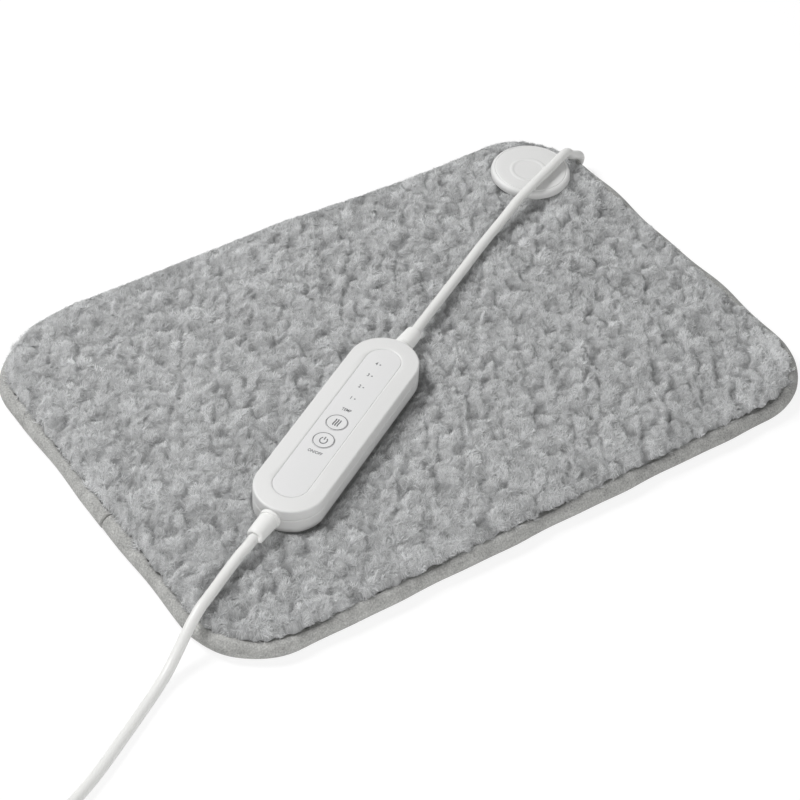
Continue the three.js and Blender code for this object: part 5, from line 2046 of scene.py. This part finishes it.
    @staticmethod
    def gather(name: str, groups: Sequence[Fibres]) -> None:
        """Turns arrays of fibre points and triangles into a pile piece with its own map.

        Args:
            name: The piece's name.
            groups: The points, triangles and map places of each tuft shape.
        """
        points = np.concatenate([g[0] for g in groups])
        maps = np.concatenate([g[2] for g in groups])
        first = np.cumsum([0, *(len(g[0]) for g in groups[:-1])])
        faces = np.concatenate([g[1] + start for g, start in zip(groups, first)])
        mesh = bpy.data.meshes.new(name)
        mesh.vertices.add(len(points))
        mesh.vertices.foreach_set("co", points.astype(np.float32).ravel())
        mesh.loops.add(faces.size)
        mesh.loops.foreach_set("vertex_index", faces.astype(np.int32).ravel())
        mesh.polygons.add(len(faces))
        mesh.polygons.foreach_set("loop_start", np.arange(0, faces.size, 3, dtype=np.int32))
        mesh.update(calc_edges=True)
        layer = mesh.uv_layers.new(name=PILE_MAP)
        layer.uv.foreach_set("vector", maps[faces.ravel()].astype(np.float32).ravel())
        mesh.polygons.foreach_set("use_smooth", np.ones(len(faces), dtype=bool))
        dress(mesh, name, PILE)


@dataclass
class PadEdge:
    """The rolled velour edge of the pad and the flat backing inside it."""

    plan: PadPlan
    coupling: Coupling
    cords: Cords
    high: float = 10.5 * MM
    bulge: float = 4.6 * MM
    groove_reach: float = 90 * MM
    groove_width: float = 9.6 * MM
    groove_top: float = 9 * MM
    groove_below: float = 1 * MM
    well_radius: float = 22.3 * MM
    seam: float = -12 * MM
    seam_cuts: tuple[float, ...] = (-1.6, -0.8, -0.35, 0, 0.35, 0.8, 1.6)
    seam_side: float = -185 * MM
    seam_depth: float = 1.7 * MM
    seam_width: float = 0.5 * MM
    lap_side: float = -190 * MM
    lap_rise: float = 0.6 * MM
    lap_reach: float = 18 * MM
    # The rise in millimetres, and radians per metre along X and Y, of each wave.
    waves: tuple[tuple[float, float, float], ...] = ((0.8, 83, 61), (0.4, 171, -127))
    wave_reach: float = 9 * MM
    wave_foot: float = 0.4 * MM
    roll: float = 5 * MM
    full_ends: tuple[float, float] = (186 * MM, 199 * MM)
    full_out: float = 0.9 * MM
    full_up: float = 1.6 * MM

    def build(self) -> None:
        """Makes the binding and the backing."""
        self.binding()
        self.backing()

    def groove(self) -> Mesh:
        """Gives the groove that the lead lies in under the pad's corner, as a cutter.

        Returns:
            The cutter.
        """
        bm = bmesh.new()
        reach, tall = self.groove_reach, self.groove_top + self.groove_below
        size = Matrix.Diagonal((reach, self.groove_width, tall, 1))
        middle = Matrix.Translation((reach / 2, 0, tall / 2 - self.groove_below))
        bmesh.ops.create_cube(bm, size=1, matrix=middle @ size)
        turn = Matrix.Rotation(self.cords.gland_angle, 4, "Z")
        spot = Matrix.Translation((self.coupling.x, self.coupling.y, 0))
        bmesh.ops.transform(bm, matrix=spot @ turn, verts=bm.verts)
        return bm

    def binding(self) -> None:
        """Makes the rolled velour edge with its slight waves and the butt seam of its ends."""
        half = self.high / 2
        turns = [(k / 12 - 0.5) * math.pi for k in range(13)]
        inner = [(5.1, -0.1), (6, -0.5), (9.5, -0.8), (11, -2.6)]
        section = [
            *((self.bulge * (1 - math.cos(a)), half + half * math.sin(a)) for a in turns),
            *offsets(inner, up=self.high),
            *offsets([(11, 1), (10, 0)]),
        ]
        bm = skin(self.plan.rings(section, 60), loop=True)
        for beside in self.seam_cuts:
            left = [f for f in bm.faces if f.calc_center_median().x < self.seam_side]
            corners = {v for f in left for v in f.verts}
            edges = {e for f in left for e in f.edges}
            plane = {"plane_co": (0, self.seam + beside * MM, 0), "plane_no": (0, 1, 0)}
            bmesh.ops.bisect_plane(bm, geom=[*corners, *edges, *left], **plane)
        self.ripple(bm)
        bm = carve(bm, [self.groove()])
        finish_piece(bm, "rolled_edge", TAPE, node="edge_binding", crease=60)

    def ripple(self, bm: Mesh) -> None:
        """Moves the binding's outer points by its waves and its seam, and fills its +X side.

        Args:
            bm: The binding.
        """
        for vert in bm.verts:
            x, y, z = vert.co
            inset = float(self.plan.inside(np.array([x]), np.array([y]))[0])
            if inset > self.wave_reach or z < self.wave_foot:
                continue
            wave = sum(rise * MM * math.sin(x * a + y * b) for rise, a, b in self.waves)
            if x < self.lap_side:
                past = y - self.seam
                wave -= self.seam_depth * math.exp(-((abs(past) / self.seam_width) ** 2))
                wave += self.lap_rise * math.exp(-max(past, 0) / self.lap_reach) * (past > 0)
            middle = Vector((0, 0, z - self.high / 2))
            outward = Vector((x, y, 0)).normalized() * (self.roll - inset) / self.roll
            outward += middle / self.high
            vert.co += outward.normalized() * wave * min(z / self.high * 2, 1)
            full = smooth_step(*self.full_ends, x) * smooth_step(0, self.high / 2, z)
            vert.co += Vector((self.full_out, 0, self.full_up * z / self.high)) * full

    def backing(self) -> None:
        """Makes the flat velour backing with its hole for the coupling and its groove."""
        profile = [(13, 0), (11.9, 0), (11.4, 0.6), (11.4, 3.3), (12.8, 3.3), (12.8, 1.5)]
        bm = skin(self.plan.rings(offsets(profile), 8))
        well = upright(self.well_radius, -2 * MM, 4 * MM, self.coupling.x, self.coupling.y)
        bm = carve(bm, [well, self.groove()])
        finish_piece(bm, "backing_cloth", BACKING, node="backing_cover", crease=50)


def dress_solids(frame: dict[str, Any]) -> None:
    """Gives every solid that stays its finish by the record's material slot.

    Args:
        frame: The loaded frame.
    """
    finishes = {finish.slot: finish for finish in SOLID_FINISHES}
    for entry in frame["record"]["subparts"]:
        solid = frame["nodes"][entry["node"]]
        solid.data.materials.clear()
        solid.data.materials.append(finishes[entry["material_slot"]].material())
    LOG.info("dressed %d solids", len(frame["nodes"]))


def main() -> None:
    """Builds the studio and every sub-assembly in order."""
    logging.basicConfig(level=logging.INFO, format="%(name)s: %(message)s")
    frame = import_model()
    Studio().build()
    dress_solids(frame)
    coupling = Coupling()
    controller = Controller()
    cords = Cords(controller, coupling)
    plan = PadPlan()
    cords.build()
    coupling.build()
    controller.build()
    PadEdge(plan, coupling, cords).build()
    PlushPile(plan, controller, coupling, cords).build()


if __name__ == "__main__":
    main()
